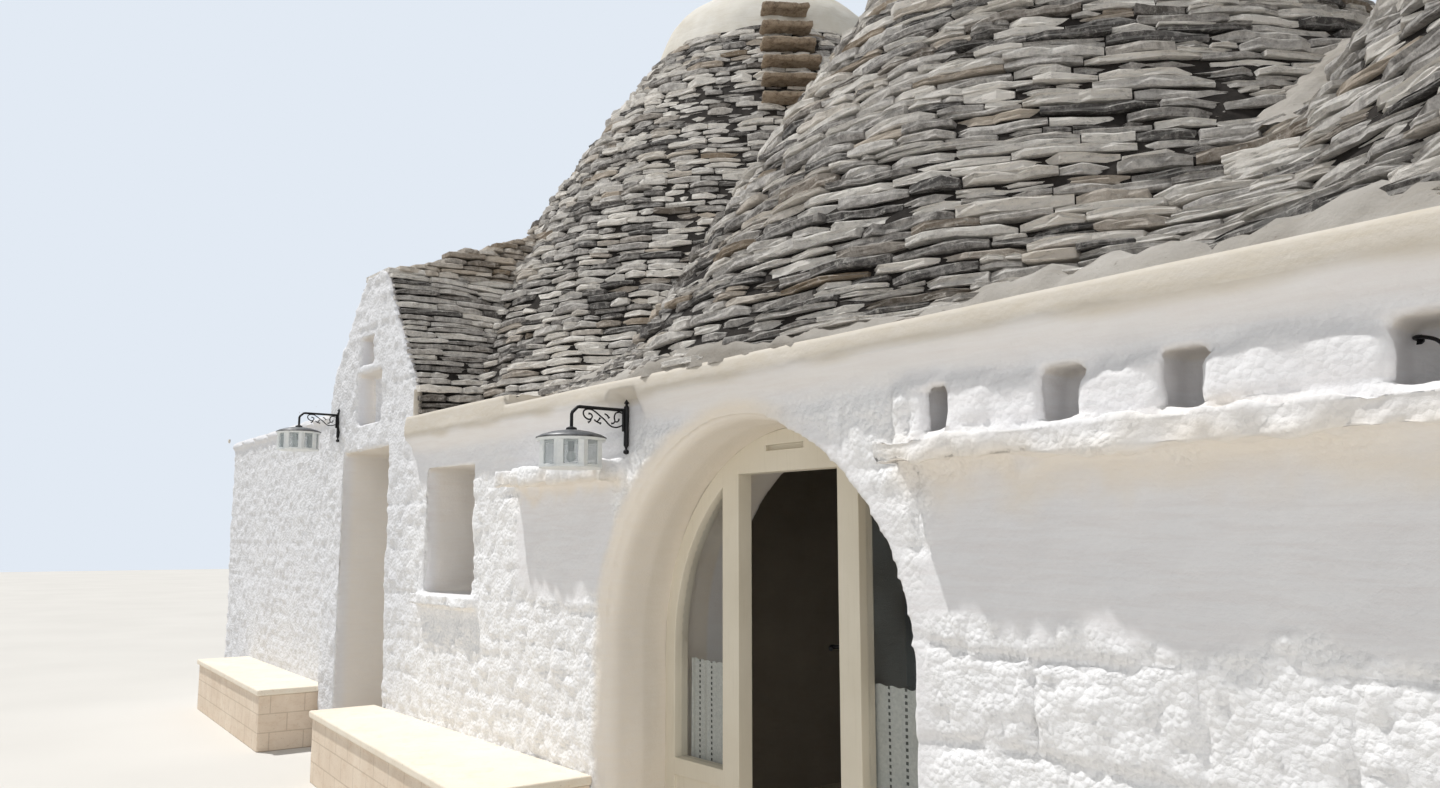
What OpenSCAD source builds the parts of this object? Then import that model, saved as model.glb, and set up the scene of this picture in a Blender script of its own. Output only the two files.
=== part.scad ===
// Trullo house: thick whitewashed walls under three merged dry-stone cones,
// a stone-roofed gable over one door and a glazed timber door in a round arch.
// X runs along the front to the right, Y into the house, Z up.

/* [Plan] */
// Clear width of the annex room
annex_room_w = 1700; // [1600:10:1800]
// Thickness of the outer wall of the annex
annex_wall_t = 750; // [700:10:800]
// Thickness of the cross walls between rooms
cross_t = 500; // [450:10:520]
// Thickness of the cross wall between the middle and the right room
cross_bc_t = 600; // [550:10:650]
// Thickness of the right end wall
right_end_t = 1450; // [1380:10:1520]
// Inner radius of the left dome at the deck, half its room's width
dome_a_r = 1900; // [1850:5:1920]
// Inner radius of the middle dome at the deck, half its room's width
dome_b_r = 1450; // [1420:5:1470]
// Inner radius of the right dome at the deck, half its room's width
dome_c_r = 1700; // [1670:5:1720]
// Thickness of the left cone's shell at its foot
foot_a_t = 1430; // [1400:5:1450]
// Thickness of the middle cone's shell at its foot
foot_b_t = 1330; // [1310:5:1350]
// Thickness of the right cone's shell at its foot
foot_c_t = 1000; // [980:5:1020]
// Front wall face back to the foot of the left cone
foot_a_back = 270; // [240:5:300]
// How far the foot of the middle cone stands out past the wall face
foot_b_over = 30; // [0:5:60]
// How far the foot of the right cone stands out past the wall face
foot_c_over = 50; // [20:5:80]
// Foot of the left cone to the back wall face behind it
back_a_margin = 70; // [50:5:120]
// Foot of the right cone to the back wall face behind it
back_c_margin = 450; // [400:5:500]
// How far the annex front stands back beside the gable
annex_step = 70; // [20:5:120]
// How far the annex front stands back at the left corner
annex_set_back = 215; // [150:5:280]

/* [Walls] */
// Height of the walls under the coping and the roof deck
wall_h = 2200; // [2160:5:2260]
// Thickness of the front wall at the arch
front_t = 750; // [700:10:800]
// Thickness of the front wall at the gable room
gable_room_front_t = 1100; // [1050:10:1150]
// Thickness of the back wall of the middle and right rooms
back_right_t = 950; // [900:10:1000]
// Clear width of the passages through the cross walls
passage_w = 900; // [800:10:950]
// Height of the passages at their crown
passage_h = 1950; // [1850:10:2000]

/* [Roof] */
// Thickness of the coping and of the roof deck
coping_t = 100; // [80:5:120]
// How far the coping stands out over the wall face
coping_out = 70; // [60:5:90]
// Width of the coping on top of the wall
coping_in = 300; // [250:5:320]
// Extra thickness of the coping right of the gable
middle_coping_rise = 60; // [40:5:80]
// Length of the thicker coping right of the gable
middle_coping_len = 1440; // [1300:10:1600]
// Height of the annex parapet above the walls
parapet_h = 370; // [300:5:420]
// Height of the left cone from the deck to its cap
cone_a_h = 3560; // [3400:10:3700]
// Height of the middle cone from the deck to its cap
cone_b_h = 3100; // [3000:10:3200]
// Height of the right cone from the deck to its cap
cone_c_h = 3000; // [2900:10:3100]
// Radius of the left cone under its cap
cap_a_r = 1060; // [1000:5:1100]
// Radius of the other cones under their caps
cap_bc_r = 680; // [640:5:720]
// How far the cones bulge out at half height
cone_bulge = 45; // [0:5:80]
// Height of the left cap
cap_a_h = 710; // [660:5:760]
// Height of the other caps
cap_bc_h = 540; // [500:5:600]
// Inner height of the left dome above the deck
dome_a_h = 2900; // [2700:10:2950]
// Inner height of the other domes above the deck
dome_bc_h = 2450; // [2300:10:2500]
// Radius of the ball on a pinnacle
ball_r = 130; // [110:5:150]
// Number of stepping stones up the left cone
step_count = 6; // [4:1:6]
// Width of the top stepping stone
step_w = 400; // [350:5:440]
// How much wider each stepping stone is than the one above it
step_widen = 22; // [0:1:30]
// How far a stepping stone stands out
step_out = 190; // [150:5:220]

/* [Gable] */
// Left cone axis to the left foot of the gable
gable_left = 1100; // [1070:5:1130]
// Left cone axis to the right foot of the gable
gable_right = 610; // [580:5:640]
// Height of the gable's blunt top above the walls
gable_h = 1280; // [1240:10:1320]
// Width of the gable's blunt top
gable_top_w = 430; // [380:10:460]
// Radius of the rounded corners of the gable's top
gable_tip_r = 70; // [50:5:90]
// Thickness of the gable wall
gable_t = 400; // [350:5:450]
// Thickness of its whitewashed face, where the roof stones end behind it
gable_face_t = 60; // [50:5:80]
// Thickness of the roof stones over the gable wall
gable_cover = 90; // [70:5:110]
// Length of the stone gable roof behind the gable wall
gable_roof_len = 1100; // [1000:10:1200]
// Left cone axis to the left jamb of the gable doorway
gable_door_left = 770; // [750:5:790]
// Clear width of the gable doorway
gable_door_w = 950; // [900:5:960]
// Depth of the closed door in the gable doorway
gable_door_depth = 600; // [500:5:700]

/* [Arch] */
// Middle cone axis to the left leg of the arch
arch_left = 800; // [780:5:820]
// Radius of the arch
arch_r = 985; // [960:5:1000]
// Height of the arch centre
arch_spring = 1055; // [1020:5:1080]
// Wall face to the timber frame in the arch
frame_depth = 350; // [320:5:380]
// Thickness of the timber frame
frame_t = 80; // [70:1:90]
// Width of the frame along the arch
frame_rim = 80; // [60:1:90]
// Width of a post beside the door opening
post_w = 120; // [100:1:130]
// Left leg of the arch to the door opening
door_from_left = 580; // [560:5:600]
// Clear width of the door opening
door_w = 660; // [640:5:680]
// Height of the door opening above the ground
door_h = 1850; // [1800:5:1860]
// Height of the sidelight sills
sidelight_sill = 520; // [480:5:560]
// Height of the net curtains' tops
curtain_top = 985; // [940:5:1020]
// Thickness of the door leaf
leaf_t = 45; // [40:1:50]
// Width of the stiles of the door leaf
stile_w = 85; // [75:1:95]
// Clearance round the door leaf
leaf_gap = 5; // [5:0.5:7]

/* [Window and niches] */
// Left cone axis to the left edge of the window
window_left = 850; // [830:5:870]
// Width of the window
window_w = 720; // [690:5:740]
// Height of the window sill's top
window_sill_z = 1220; // [1190:5:1250]
// Height of the window
window_h = 780; // [750:5:800]
// Depth of the window frame in the wall
window_depth = 450; // [400:5:500]
// Width of the bars of the window and door frames
frame_bar = 60; // [50:1:70]
// Thickness of the glass
glass_t = 6; // [4:0.5:8]
// Width of the first wall niche, beside the arch
niche_first_w = 120; // [100:5:140]
// Width of the other wall niches
niche_w = 160; // [130:5:180]
// Height of a wall niche
niche_h = 200; // [180:5:210]
// Depth of a wall niche
niche_depth = 180; // [150:5:220]
// Height of the foot of the wall niches
niche_z = 1870; // [1860:5:1890]

/* [Outside pieces] */
// Height of the top of the ledge left of the arch
ledge_left_z = 1920; // [1900:5:1940]
// Length of the ledge left of the arch
ledge_left_len = 1110; // [1080:10:1140]
// Height of the top of the ledge right of the arch
ledge_right_z = 1880; // [1860:5:1890]
// Length of the ledge right of the arch
ledge_right_len = 3750; // [3700:10:3800]
// Left corner to the left end of the left bench
bench_from_left = 1120; // [1080:10:1160]
// Height of a bench
bench_h = 450; // [420:5:480]
// Thickness of a bench seat
seat_t = 45; // [40:1:60]
// How far a bench seat stands out over its base
seat_out = 20; // [10:1:30]
// How far the wall ledges stand out
ledge_out = 120; // [90:5:140]
// Thickness of the wall ledges
ledge_t = 80; // [60:5:90]
// Wall face to the middle of a lantern
lamp_reach = 305; // [290:5:330]
// Height of the arm of the right lamp's bracket
lamp_right_z = 2155; // [2140:5:2160]
// Height of the arm of the left lamp's bracket
lamp_left_z = 2500; // [2480:5:2520]
// Outer radius of a lantern's body
lantern_r = 150; // [140:1:165]
// Height of a lantern's body under its roof
lantern_h = 135; // [125:1:150]
// Height of a lantern's shallow roof
lantern_roof_h = 40; // [35:1:50]

/* [Hidden] */
$fn = 96;
cone_fn = 240;
// Gap between curved or fitted pieces of masonry
seat_gap = 0.4;
floor_t = 60;

// Front edges of the bench seats, from the wall face outwards
bench_front_left = 290;
bench_front_mid = 440;
bench_front_right = 670;

// Base radii of the cones, at the roof deck
cone_a_r = dome_a_r + foot_a_t;
cone_b_r = dome_b_r + foot_b_t;
cone_c_r = dome_c_r + foot_c_t;

// Front wall face to the axis of each cone
cone_a_depth = cone_a_r + foot_a_back;
cone_b_depth = cone_b_r - foot_b_over;
cone_c_depth = cone_c_r - foot_c_over;

// Depths of the left and the right part of the house
left_depth = cone_a_depth + cone_a_r + back_a_margin;
right_depth = cone_c_depth + cone_c_r + back_c_margin;

// The house stands with its middle over the origin
front_reach = bench_front_right;
back_reach = left_depth + coping_out;
shift_y = (front_reach - back_reach) / 2;

// Cone axes, from the annex, the rooms and the walls between them
ax_from_left = annex_wall_t + annex_room_w + cross_t + dome_a_r;
ab_pitch = dome_a_r + cross_t + dome_b_r;
bc_pitch = dome_b_r + cross_bc_t + dome_c_r;
house_len = ax_from_left + ab_pitch + bc_pitch + dome_c_r + right_end_t;
house_left = -house_len / 2;
house_right = house_len / 2;
ax = house_left + ax_from_left;
bx = ax + ab_pitch;
cx = bx + bc_pitch;
deck_top = wall_h + coping_t;
// Longer than the house in every direction, for cuts
far = 2 * house_len;

// Rooms, as [left, right, front, back]
room_a = [ax - dome_a_r, ax + dome_a_r, gable_room_front_t, right_depth];
room_b = [bx - dome_b_r, bx + dome_b_r, front_t, right_depth - back_right_t];
room_c = [cx - dome_c_r, cx + dome_c_r, front_t, right_depth - back_right_t];
annex_right = room_a[0] - cross_t;
room_annex = [annex_right - annex_room_w, annex_right, front_t, room_a[3]];
// The left part's deep back wall ends a little way over the middle room
back_step = 250;
left_block_right = room_b[0] + back_step;

// Gable, arch and window in the front wall
gable_x0 = ax - gable_left;
gable_x1 = ax + gable_right;
gable_mid = (gable_x0 + gable_x1) / 2;
door_x0 = ax - gable_door_left;
door_x1 = door_x0 + gable_door_w;
arch_x0 = bx - arch_left;
arch_x1 = arch_x0 + 2 * arch_r;
arch_mid = arch_x0 + arch_r;
// Wall beside the arch that belongs to the arch's own block
arch_pier_left = 350;
arch_pier_right = 430;
arch_block_x0 = arch_x0 - arch_pier_left;
arch_block_x1 = arch_x1 + arch_pier_right;
window_x0 = ax + window_left;
window_x1 = window_x0 + window_w;
sill_t = 50;

// Middles of the niches, from the right leg of the arch
niche_from_arch = [135, 615, 1010, 1600, 2100, 2600, 3100];
function niche_width(i) = i == 0 ? niche_first_w : niche_w;
niche_x = [for (i = [0:len(niche_from_arch) - 1]) arch_x1 + niche_from_arch[i] - niche_width(i) / 2];

// Annex front face: how far it stands back at a place along the wall
function annex_y(x) = annex_step
    + (annex_set_back - annex_step) * (gable_x0 - x) / (gable_x0 - house_left);

// Radius of a cone at a share of its height, with a slight bulge
function cone_r(r0, r1, u) = r0 + (r1 - r0) * u + cone_bulge * sin(180 * u);

// Inner radius of a pointed dome at a height above its foot
function dome_arc(r, h) = (h * h + r * r) / (2 * r);
function dome_r(r, h, z) = sqrt(pow(dome_arc(r, h), 2) - z * z) - (dome_arc(r, h) - r);

// Plumb planes where neighbouring cones meet
function axis_angle(p, q) = atan2(q[1] - p[1], q[0] - p[0]);
function meet(p, q, rp, rq) = (pow(norm(q - p), 2) + rp * rp - rq * rq) / (2 * norm(q - p));
pa = [ax, cone_a_depth];
pb = [bx, cone_b_depth];
pc = [cx, cone_c_depth];

module whitewash() color([0.93, 0.93, 0.94]) children();
module stone() color([0.56, 0.54, 0.52]) children();
module cream() color([0.88, 0.83, 0.74]) children();
module timber() color([0.84, 0.81, 0.73]) children();
module iron() color([0.09, 0.09, 0.1]) children();
module glass() color([0.6, 0.7, 0.72, 0.4]) children();

module box(x0, x1, y0, y1, z0, z1)
    translate([x0, y0, z0]) cube([x1 - x0, y1 - y0, z1 - z0]);

// A plan outline raised from z0 to z1
module slab(points, z0, z1)
    translate([0, 0, z0]) linear_extrude(z1 - z0) polygon(points);

// A front view outline made y0 to y1 deep
module upright(y0, y1)
    translate([0, y1, 0]) rotate([90, 0, 0]) linear_extrude(y1 - y0) children();

module rect(x0, x1, z0, z1) translate([x0, z0]) square([x1 - x0, z1 - z0]);

module room_floor(r) box(r[0], r[1], r[2], r[3], 0, floor_t);

module floor_slabs() cream() {
    room_floor(room_annex);
    room_floor(room_a);
    room_floor(room_b);
    room_floor(room_c);
    box(door_x0, door_x1, 0, gable_room_front_t, 0, floor_t);
    box(arch_x0, arch_x1, 0, front_t, 0, floor_t);
}

module front_wall_left() whitewash()
    slab([[house_left, annex_set_back], [gable_x0, annex_step], [gable_x0, 0],
        [door_x0, 0], [door_x0, gable_room_front_t], [annex_right, gable_room_front_t],
        [annex_right, front_t], [house_left, front_t]], 0, wall_h);

module front_wall_middle() whitewash() difference() {
    slab([[door_x1, 0], [arch_block_x0, 0], [arch_block_x0, front_t],
        [room_b[0], front_t], [room_b[0], gable_room_front_t],
        [door_x1, gable_room_front_t]], 0, wall_h);
    box(window_x0, window_x1, -1, gable_room_front_t + 1,
        window_sill_z - sill_t, window_sill_z + window_h);
}

module arch_hole() {
    rect(arch_x0, arch_x1, -1, arch_spring);
    translate([arch_mid, arch_spring]) circle(arch_r);
}

module niche(i) box(niche_x[i], niche_x[i] + niche_width(i), -1, niche_depth,
    niche_z, niche_z + niche_h);

module arch_wall() whitewash() difference() {
    upright(0, front_t) difference() {
        rect(arch_block_x0, arch_block_x1, 0, wall_h);
        arch_hole();
    }
    niche(0);
}

module front_wall_right() whitewash() difference() {
    box(arch_block_x1, house_right, 0, front_t, 0, wall_h);
    for (i = [1:len(niche_x) - 1]) niche(i);
}

module left_end_wall() whitewash()
    box(house_left, room_annex[0], front_t, room_a[3], 0, wall_h);

module right_end_wall() whitewash()
    box(room_c[1], house_right, front_t, room_c[3], 0, wall_h);

module back_wall_left() whitewash()
    box(house_left, left_block_right, room_a[3], left_depth, 0, wall_h);

module back_wall_right() whitewash()
    box(room_b[0], house_right, room_b[3], right_depth, 0, wall_h);

// A wall across the house with an arched passage through it
module cross_wall(x, t, y0, y1, y_mid) whitewash()
    translate([x, 0, 0]) rotate([90, 0, 90]) linear_extrude(t) difference() {
        rect(y0, y1, 0, wall_h);
        rect(y_mid - passage_w / 2, y_mid + passage_w / 2, -1, passage_h - passage_w / 2);
        translate([y_mid, passage_h - passage_w / 2]) circle(passage_w / 2);
    }

module annex_cross_wall()
    cross_wall(annex_right, cross_t, gable_room_front_t, room_a[3], cone_a_depth);

module left_cross_wall()
    cross_wall(room_a[1], cross_t, gable_room_front_t, room_a[3],
        (cone_a_depth + cone_b_depth) / 2);

module right_cross_wall()
    cross_wall(room_b[1], cross_bc_t, front_t, room_b[3], cone_b_depth);

module dome_hole(p, r) translate(p) circle(r);

module roof_deck() stone() translate([0, 0, wall_h]) linear_extrude(coping_t) difference() {
    polygon([[house_left + coping_in, annex_set_back + coping_in],
        [gable_x0, annex_set_back + coping_in], [gable_x0, gable_room_front_t],
        [gable_x1, gable_room_front_t], [gable_x1, coping_in],
        [house_right - coping_in, coping_in],
        [house_right - coping_in, right_depth - coping_in],
        [left_block_right - coping_in, right_depth - coping_in],
        [left_block_right - coping_in, left_depth - coping_in],
        [house_left + coping_in, left_depth - coping_in]]);
    dome_hole(pa, dome_a_r);
    dome_hole(pb, dome_b_r);
    dome_hole(pc, dome_c_r);
}

// The annex's raised edge
parapet_gap = 330;
parapet_back_half = sqrt(pow(cone_a_r, 2) - pow(left_depth - coping_in - cone_a_depth, 2));
parapet_back_x = ax - parapet_back_half - parapet_gap;

module annex_parapet() whitewash() difference() {
    slab([[gable_x0, annex_y(gable_x0)], [house_left, annex_set_back], [house_left, left_depth],
        [parapet_back_x, left_depth], [parapet_back_x, left_depth - coping_in],
        [house_left + coping_in, left_depth - coping_in],
        [house_left + coping_in, annex_set_back + coping_in],
        [gable_x0, annex_set_back + coping_in]], wall_h, wall_h + parapet_h);
    cone_left_solid(seat_gap);
}

// Outer edge of a coping, as [out, height]: a cove off the wall, then a round nose
cove_h = 100;
nose_foot = 25;
nose_in = 30;
nose_w = coping_out + nose_in;
edge_steps = 5;
function ease(t) = t * t * (3 - 2 * t);
function coping_edge(foot, top) = concat(
    [for (i = [0:edge_steps - 1]) let (t = i / edge_steps)
        [coping_out * ease(t), foot - cove_h + (cove_h + nose_foot) * t]],
    [for (i = [0:edge_steps]) let (a = 90 * i / edge_steps)
        [nose_w * cos(a) - nose_in, foot + nose_foot + (top - foot - nose_foot) * sin(a)]]);
function coping_section(foot, top) = concat(
    [[-coping_in, foot], [0, foot]], coping_edge(foot, top), [[-coping_in, top]]);

// A coping along a plan path, out to its left: straight runs of the section, each
// cut at the mitres with its neighbours. The first and last points only turn the ends.
coping_reach = coping_out + coping_in;
function left_of(p, q) = [p[1] - q[1], q[0] - p[0]] / norm(q - p);
function mitre(a, p, b) = let (m = left_of(a, p), n = left_of(p, b)) (m + n) / (1 + m * n);
module coping_run(a, p, q, b, section) {
    m = mitre(a, p, q) * coping_reach;
    n = mitre(p, q, b) * coping_reach;
    intersection() {
        translate([p[0], p[1], 0]) rotate([0, 0, atan2(q[1] - p[1], q[0] - p[0])])
            translate([-2 * coping_reach, 0, 0]) rotate([90, 0, 90])
                linear_extrude(norm(q - p) + 4 * coping_reach) polygon(section);
        slab([p + m, q + n, q - n, p - m], 0, far);
    }
}
module coping(path, section)
    for (i = [1:len(path) - 3]) coping_run(path[i - 1], path[i], path[i + 1], path[i + 2], section);

// Everything inside one straight side of the annex's coping, out to its nose
annex_coping_foot = wall_h + parapet_h;
annex_coping_top = annex_coping_foot + coping_t;
module coping_side(p, q) translate([p[0], p[1], 0])
    rotate([0, 0, atan2(q[1] - p[1], q[0] - p[0])]) translate([-far / 2, 0, 0])
        rotate([90, 0, 90]) linear_extrude(far) polygon(concat(
            [[-far / 2, annex_coping_foot - cove_h]],
            coping_edge(annex_coping_foot, annex_coping_top), [[-far / 2, annex_coping_top]]));

module annex_coping() cream() difference() {
    intersection() {
        coping_side([gable_x0, annex_y(gable_x0)], [house_left, annex_set_back]);
        coping_side([house_left, annex_set_back], [house_left, left_depth]);
        coping_side([house_left, left_depth], [parapet_back_x, left_depth]);
        box(-far, gable_x0, -far, far, 0, far);
    }
    slab([[far, annex_y(far) - seat_gap], [house_left, annex_set_back - seat_gap],
        [house_left, left_depth], [far, left_depth]], 0, annex_coping_foot);
    slab([[house_left + coping_in, annex_set_back + coping_in],
        [far, annex_set_back + coping_in], [far, far], [parapet_back_x, far],
        [parapet_back_x, left_depth - coping_in], [house_left + coping_in, left_depth - coping_in]],
        0, far);
    cone_left_solid(seat_gap);
}

middle_coping_x1 = gable_x1 + middle_coping_len;
module middle_coping() cream()
    coping([[middle_coping_x1 + 1, 0], [middle_coping_x1, 0], [gable_x1, 0], [gable_x1 - 1, 0]],
        coping_section(wall_h, deck_top + middle_coping_rise));

// Coping along the front right and round the right end, left open round the
// bar of the right lamp's bracket
module front_coping() cream() difference() {
    coping([[left_block_right, right_depth], [house_right, right_depth], [house_right, 0],
        [middle_coping_x1, 0], [middle_coping_x1 - 1, 0]], coping_section(wall_h, deck_top));
    box(lamp_right_x - bar_w, lamp_right_x + bar_w, -coping_out - 1, 0,
        wall_h - cove_h - 1, lamp_right_z + bar_up + spear_h + 3);
}

// Coping along the back, with the step between the two depths
module back_coping() cream()
    coping([[parapet_back_x - 1, left_depth], [parapet_back_x, left_depth],
        [left_block_right, left_depth], [left_block_right, right_depth],
        [house_right, right_depth], [house_right, 0]], coping_section(wall_h, deck_top));

// Outline of a cone's shell: outside with a slight bulge, inside a pointed dome
module cone_shell(r0, r1, h, dome_r0, dome_h, steps = 8)
    rotate_extrude($fn = cone_fn) polygon(concat(
        [for (i = [0:steps]) [cone_r(r0, r1, i / steps), h * i / steps]],
        [[0, h]],
        [for (i = [steps:-1:0]) let (z = dome_h * i / steps)
            [max(0, dome_r(dome_r0, dome_h + coping_t, z + coping_t)), z]]));

// Everything past a plumb plane at a distance from p towards q
module beyond(p, q, dist) translate([p[0], p[1], 0]) rotate([0, 0, axis_angle(p, q)])
    translate([dist, -far / 2, deck_top - 1]) cube(far);

meet_ab = meet(pa, pb, cone_a_r, cone_b_r);
meet_bc = meet(pb, pc, cone_b_r, cone_c_r);

module cone_left() stone() difference() {
    translate([ax, cone_a_depth, deck_top])
        cone_shell(cone_a_r, cap_a_r, cone_a_h, dome_a_r, dome_a_h);
    beyond(pa, pb, meet_ab);
}

// Rubble that fills the valley between the middle and the right cone, in front and
// behind: a wedge on the deck, its foot this far from the wall faces
valley_foot = 330;
valley_in = 1750;
valley_lean = 35;
// Where the wedge ends inside the two shells, from their axes
valley_end = 1050;
// How far the wedge stays clear of the domes' inner faces
valley_cover = 100;

valley_h = tan(valley_lean) * (valley_in - valley_foot);
// The cones' axes stand this far from the wall face on the average
valley_mid = (cone_b_depth + cone_c_depth) / 2;

module valley_wedge(outline) translate([bx + valley_end, 0, deck_top]) rotate([90, 0, 90])
    linear_extrude(bc_pitch - 2 * valley_end) polygon(outline);

module valley_fill() difference() {
    union() {
        valley_wedge([[valley_foot, 0], [valley_in, 0], [valley_in, valley_h]]);
        valley_wedge([[2 * valley_mid - valley_in, 0], [2 * valley_mid - valley_foot, 0],
            [2 * valley_mid - valley_in, valley_h]]);
    }
    translate([pb[0], pb[1], deck_top - 1]) cylinder(h = cone_b_h, r = dome_b_r + valley_cover);
    translate([pc[0], pc[1], deck_top - 1]) cylinder(h = cone_b_h, r = dome_c_r + valley_cover);
}

module cone_middle() stone() difference() {
    union() {
        translate([bx, cone_b_depth, deck_top])
            cone_shell(cone_b_r, cap_bc_r, cone_b_h, dome_b_r, dome_bc_h);
        valley_fill();
    }
    beyond(pb, pa, norm(pb - pa) - meet_ab);
    beyond(pb, pc, meet_bc);
}

module cone_right() stone() difference() {
    union() {
        translate([cx, cone_c_depth, deck_top])
            cone_shell(cone_c_r, cap_bc_r, cone_c_h, dome_c_r, dome_bc_h);
        valley_fill();
    }
    beyond(pc, pb, norm(pc - pb) - meet_bc);
}

// The left cone without its hollow, a little larger
module cone_left_solid(grow, steps = 8) translate([ax, cone_a_depth, deck_top])
    rotate_extrude($fn = cone_fn) polygon(concat(
        [for (i = [0:steps]) [cone_r(cone_a_r, cap_a_r, i / steps) + grow,
            cone_a_h * i / steps]],
        [[0, cone_a_h], [0, 0]]));

// A rounded cap: a quarter of an ellipse turned round its axis
module cap(r, h, steps = 12) rotate_extrude() polygon(concat(
    [for (i = [0:steps]) [r * cos(90 * i / steps), h * sin(90 * i / steps)]], [[0, 0]]));

// The cap's top is cut flat where the pinnacle stands
cap_flat = 30;
module flat_cap(r, h) difference() {
    cap(r, h);
    translate([-r, -r, h - cap_flat]) cube([2 * r, 2 * r, h]);
}

module cone_caps() whitewash() {
    translate([ax, cone_a_depth, deck_top + cone_a_h]) flat_cap(cap_a_r, cap_a_h);
    translate([bx, cone_b_depth, deck_top + cone_b_h]) flat_cap(cap_bc_r, cap_bc_h);
    translate([cx, cone_c_depth, deck_top + cone_c_h]) flat_cap(cap_bc_r, cap_bc_h);
}

// A pinnacle: a disc, a short neck and a ball
disc_t = 60;
module pinnacle() {
    cylinder(h = disc_t, r = 1.1 * ball_r);
    cylinder(h = disc_t + ball_r, r = 0.55 * ball_r);
    translate([0, 0, disc_t + 1.6 * ball_r]) sphere(ball_r);
}

module pinnacles() whitewash() {
    translate([ax, cone_a_depth, deck_top + cone_a_h + cap_a_h - cap_flat]) pinnacle();
    translate([bx, cone_b_depth, deck_top + cone_b_h + cap_bc_h - cap_flat]) pinnacle();
    translate([cx, cone_c_depth, deck_top + cone_c_h + cap_bc_h - cap_flat]) pinnacle();
}

// Stepping stones up the front of the left cone and over its cap
step_pitch = 210;
step_t = 50;
step_turn = -34;
// How far a stepping stone reaches in past the face at its top
step_in = 120;
step_top = cone_a_h + 0.11 * cap_a_h;

function roof_r(z) = z < cone_a_h
    ? cone_r(cone_a_r, cap_a_r, z / cone_a_h)
    : cap_a_r * sqrt(max(0, 1 - pow((z - cone_a_h) / cap_a_h, 2)));

module cone_steps() stone() difference() {
    translate([ax, cone_a_depth, deck_top]) rotate([0, 0, step_turn])
        for (i = [0:step_count - 1]) let (z = step_top - i * step_pitch, w = step_w + i * step_widen)
            translate([roof_r(z + step_t) - step_in, -w / 2, z])
                cube([roof_r(z) - roof_r(z + step_t) + step_in + step_out, w, step_t]);
    cone_left_solid(seat_gap);
    translate([ax, cone_a_depth, deck_top + cone_a_h])
        cap(cap_a_r + seat_gap, cap_a_h + seat_gap);
}

// Gable outline: upright sides up to the eaves, then two slopes to a blunt top
gable_lean_right = 20;
eaves_left = 500;
eaves_right = 350;
// The middle of the blunt top, right of the gable's middle
gable_top_off = 10;
gable_top_x0 = gable_mid + gable_top_off - gable_top_w / 2;
gable_top_x1 = gable_mid + gable_top_off + gable_top_w / 2;

module gable_outline() hull() {
    for (x = [gable_top_x0 + gable_tip_r, gable_top_x1 - gable_tip_r])
        translate([x, wall_h + gable_h - gable_tip_r]) circle(gable_tip_r, $fn = 32);
    polygon([[gable_x0, wall_h], [gable_x1, wall_h],
        [gable_x1 - gable_lean_right, wall_h + eaves_right], [gable_x0, wall_h + eaves_left]]);
}

// The gable wall's core, under its roof stones
module gable_core() polygon([[gable_x0 + gable_cover, wall_h], [gable_x1 - gable_cover, wall_h],
    [gable_x1 - gable_cover, wall_h + eaves_right - gable_cover / 2],
    [gable_top_x1 - gable_cover, wall_h + gable_h - gable_cover],
    [gable_top_x0 + gable_cover, wall_h + gable_h - gable_cover],
    [gable_x0 + gable_cover, wall_h + eaves_left - gable_cover / 2]]);

// Gable niches, from the left cone's axis, as [left, right, foot, head]
gable_niche_depth = 150;
gable_niches = [[-520, -20, 190, 570], [-470, -190, 620, 840]];

module gable_wall() whitewash() difference() {
    union() {
        upright(0, gable_face_t) gable_outline();
        upright(0, gable_t) gable_core();
    }
    cone_left_solid(seat_gap);
    for (g = gable_niches)
        box(ax + g[0], ax + g[1], -1, gable_niche_depth, wall_h + g[2], wall_h + g[3]);
}

module gable_roof() stone() difference() {
    upright(gable_face_t, gable_t + gable_roof_len) gable_outline();
    upright(gable_face_t - 1, gable_t) gable_core();
    cone_left_solid(seat_gap);
    box(gable_x0 - 1, gable_x1 + 1, gable_room_front_t, far, wall_h - 1, deck_top + seat_gap);
}

module ledge(x0, x1, z1) box(x0, x1, -ledge_out, 0, z1 - ledge_t, z1);

// How far each ledge reaches over the arch's own width
ledge_left_lap = 150;
ledge_right_lap = 50;

module wall_ledges() whitewash() {
    ledge(arch_x0 + ledge_left_lap - ledge_left_len, arch_x0 + ledge_left_lap, ledge_left_z);
    ledge(arch_x1 - ledge_right_lap, arch_x1 - ledge_right_lap + ledge_right_len,
        ledge_right_z);
}

// A bench, out from the wall line by its front edge on the left and right
module bench(x0, x1, back0, back1, front0, front1, z0, z1)
    slab([[x0, -front0], [x1, -front1], [x1, back1], [x0, back0]], z0, z1);

bench_left_gap = 20;
bench_right_lap = 80;
bench_arch_gap = 90;
bench_left_x = [house_left + bench_from_left, gable_x0 - bench_left_gap];
bench_right_x = [door_x1 - bench_right_lap, arch_x0 - bench_arch_gap];

module bench_bases() cream() {
    bench(bench_left_x[0] + seat_out, bench_left_x[1] - seat_out,
        annex_y(bench_left_x[0] + seat_out) - seat_gap,
        annex_y(bench_left_x[1] - seat_out) - seat_gap,
        bench_front_left - seat_out, bench_front_mid - seat_out, 0, bench_h - seat_t);
    bench(bench_right_x[0] + seat_out, bench_right_x[1] - seat_out, 0, 0,
        bench_front_mid - seat_out, bench_front_right - seat_out, 0, bench_h - seat_t);
}

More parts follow.
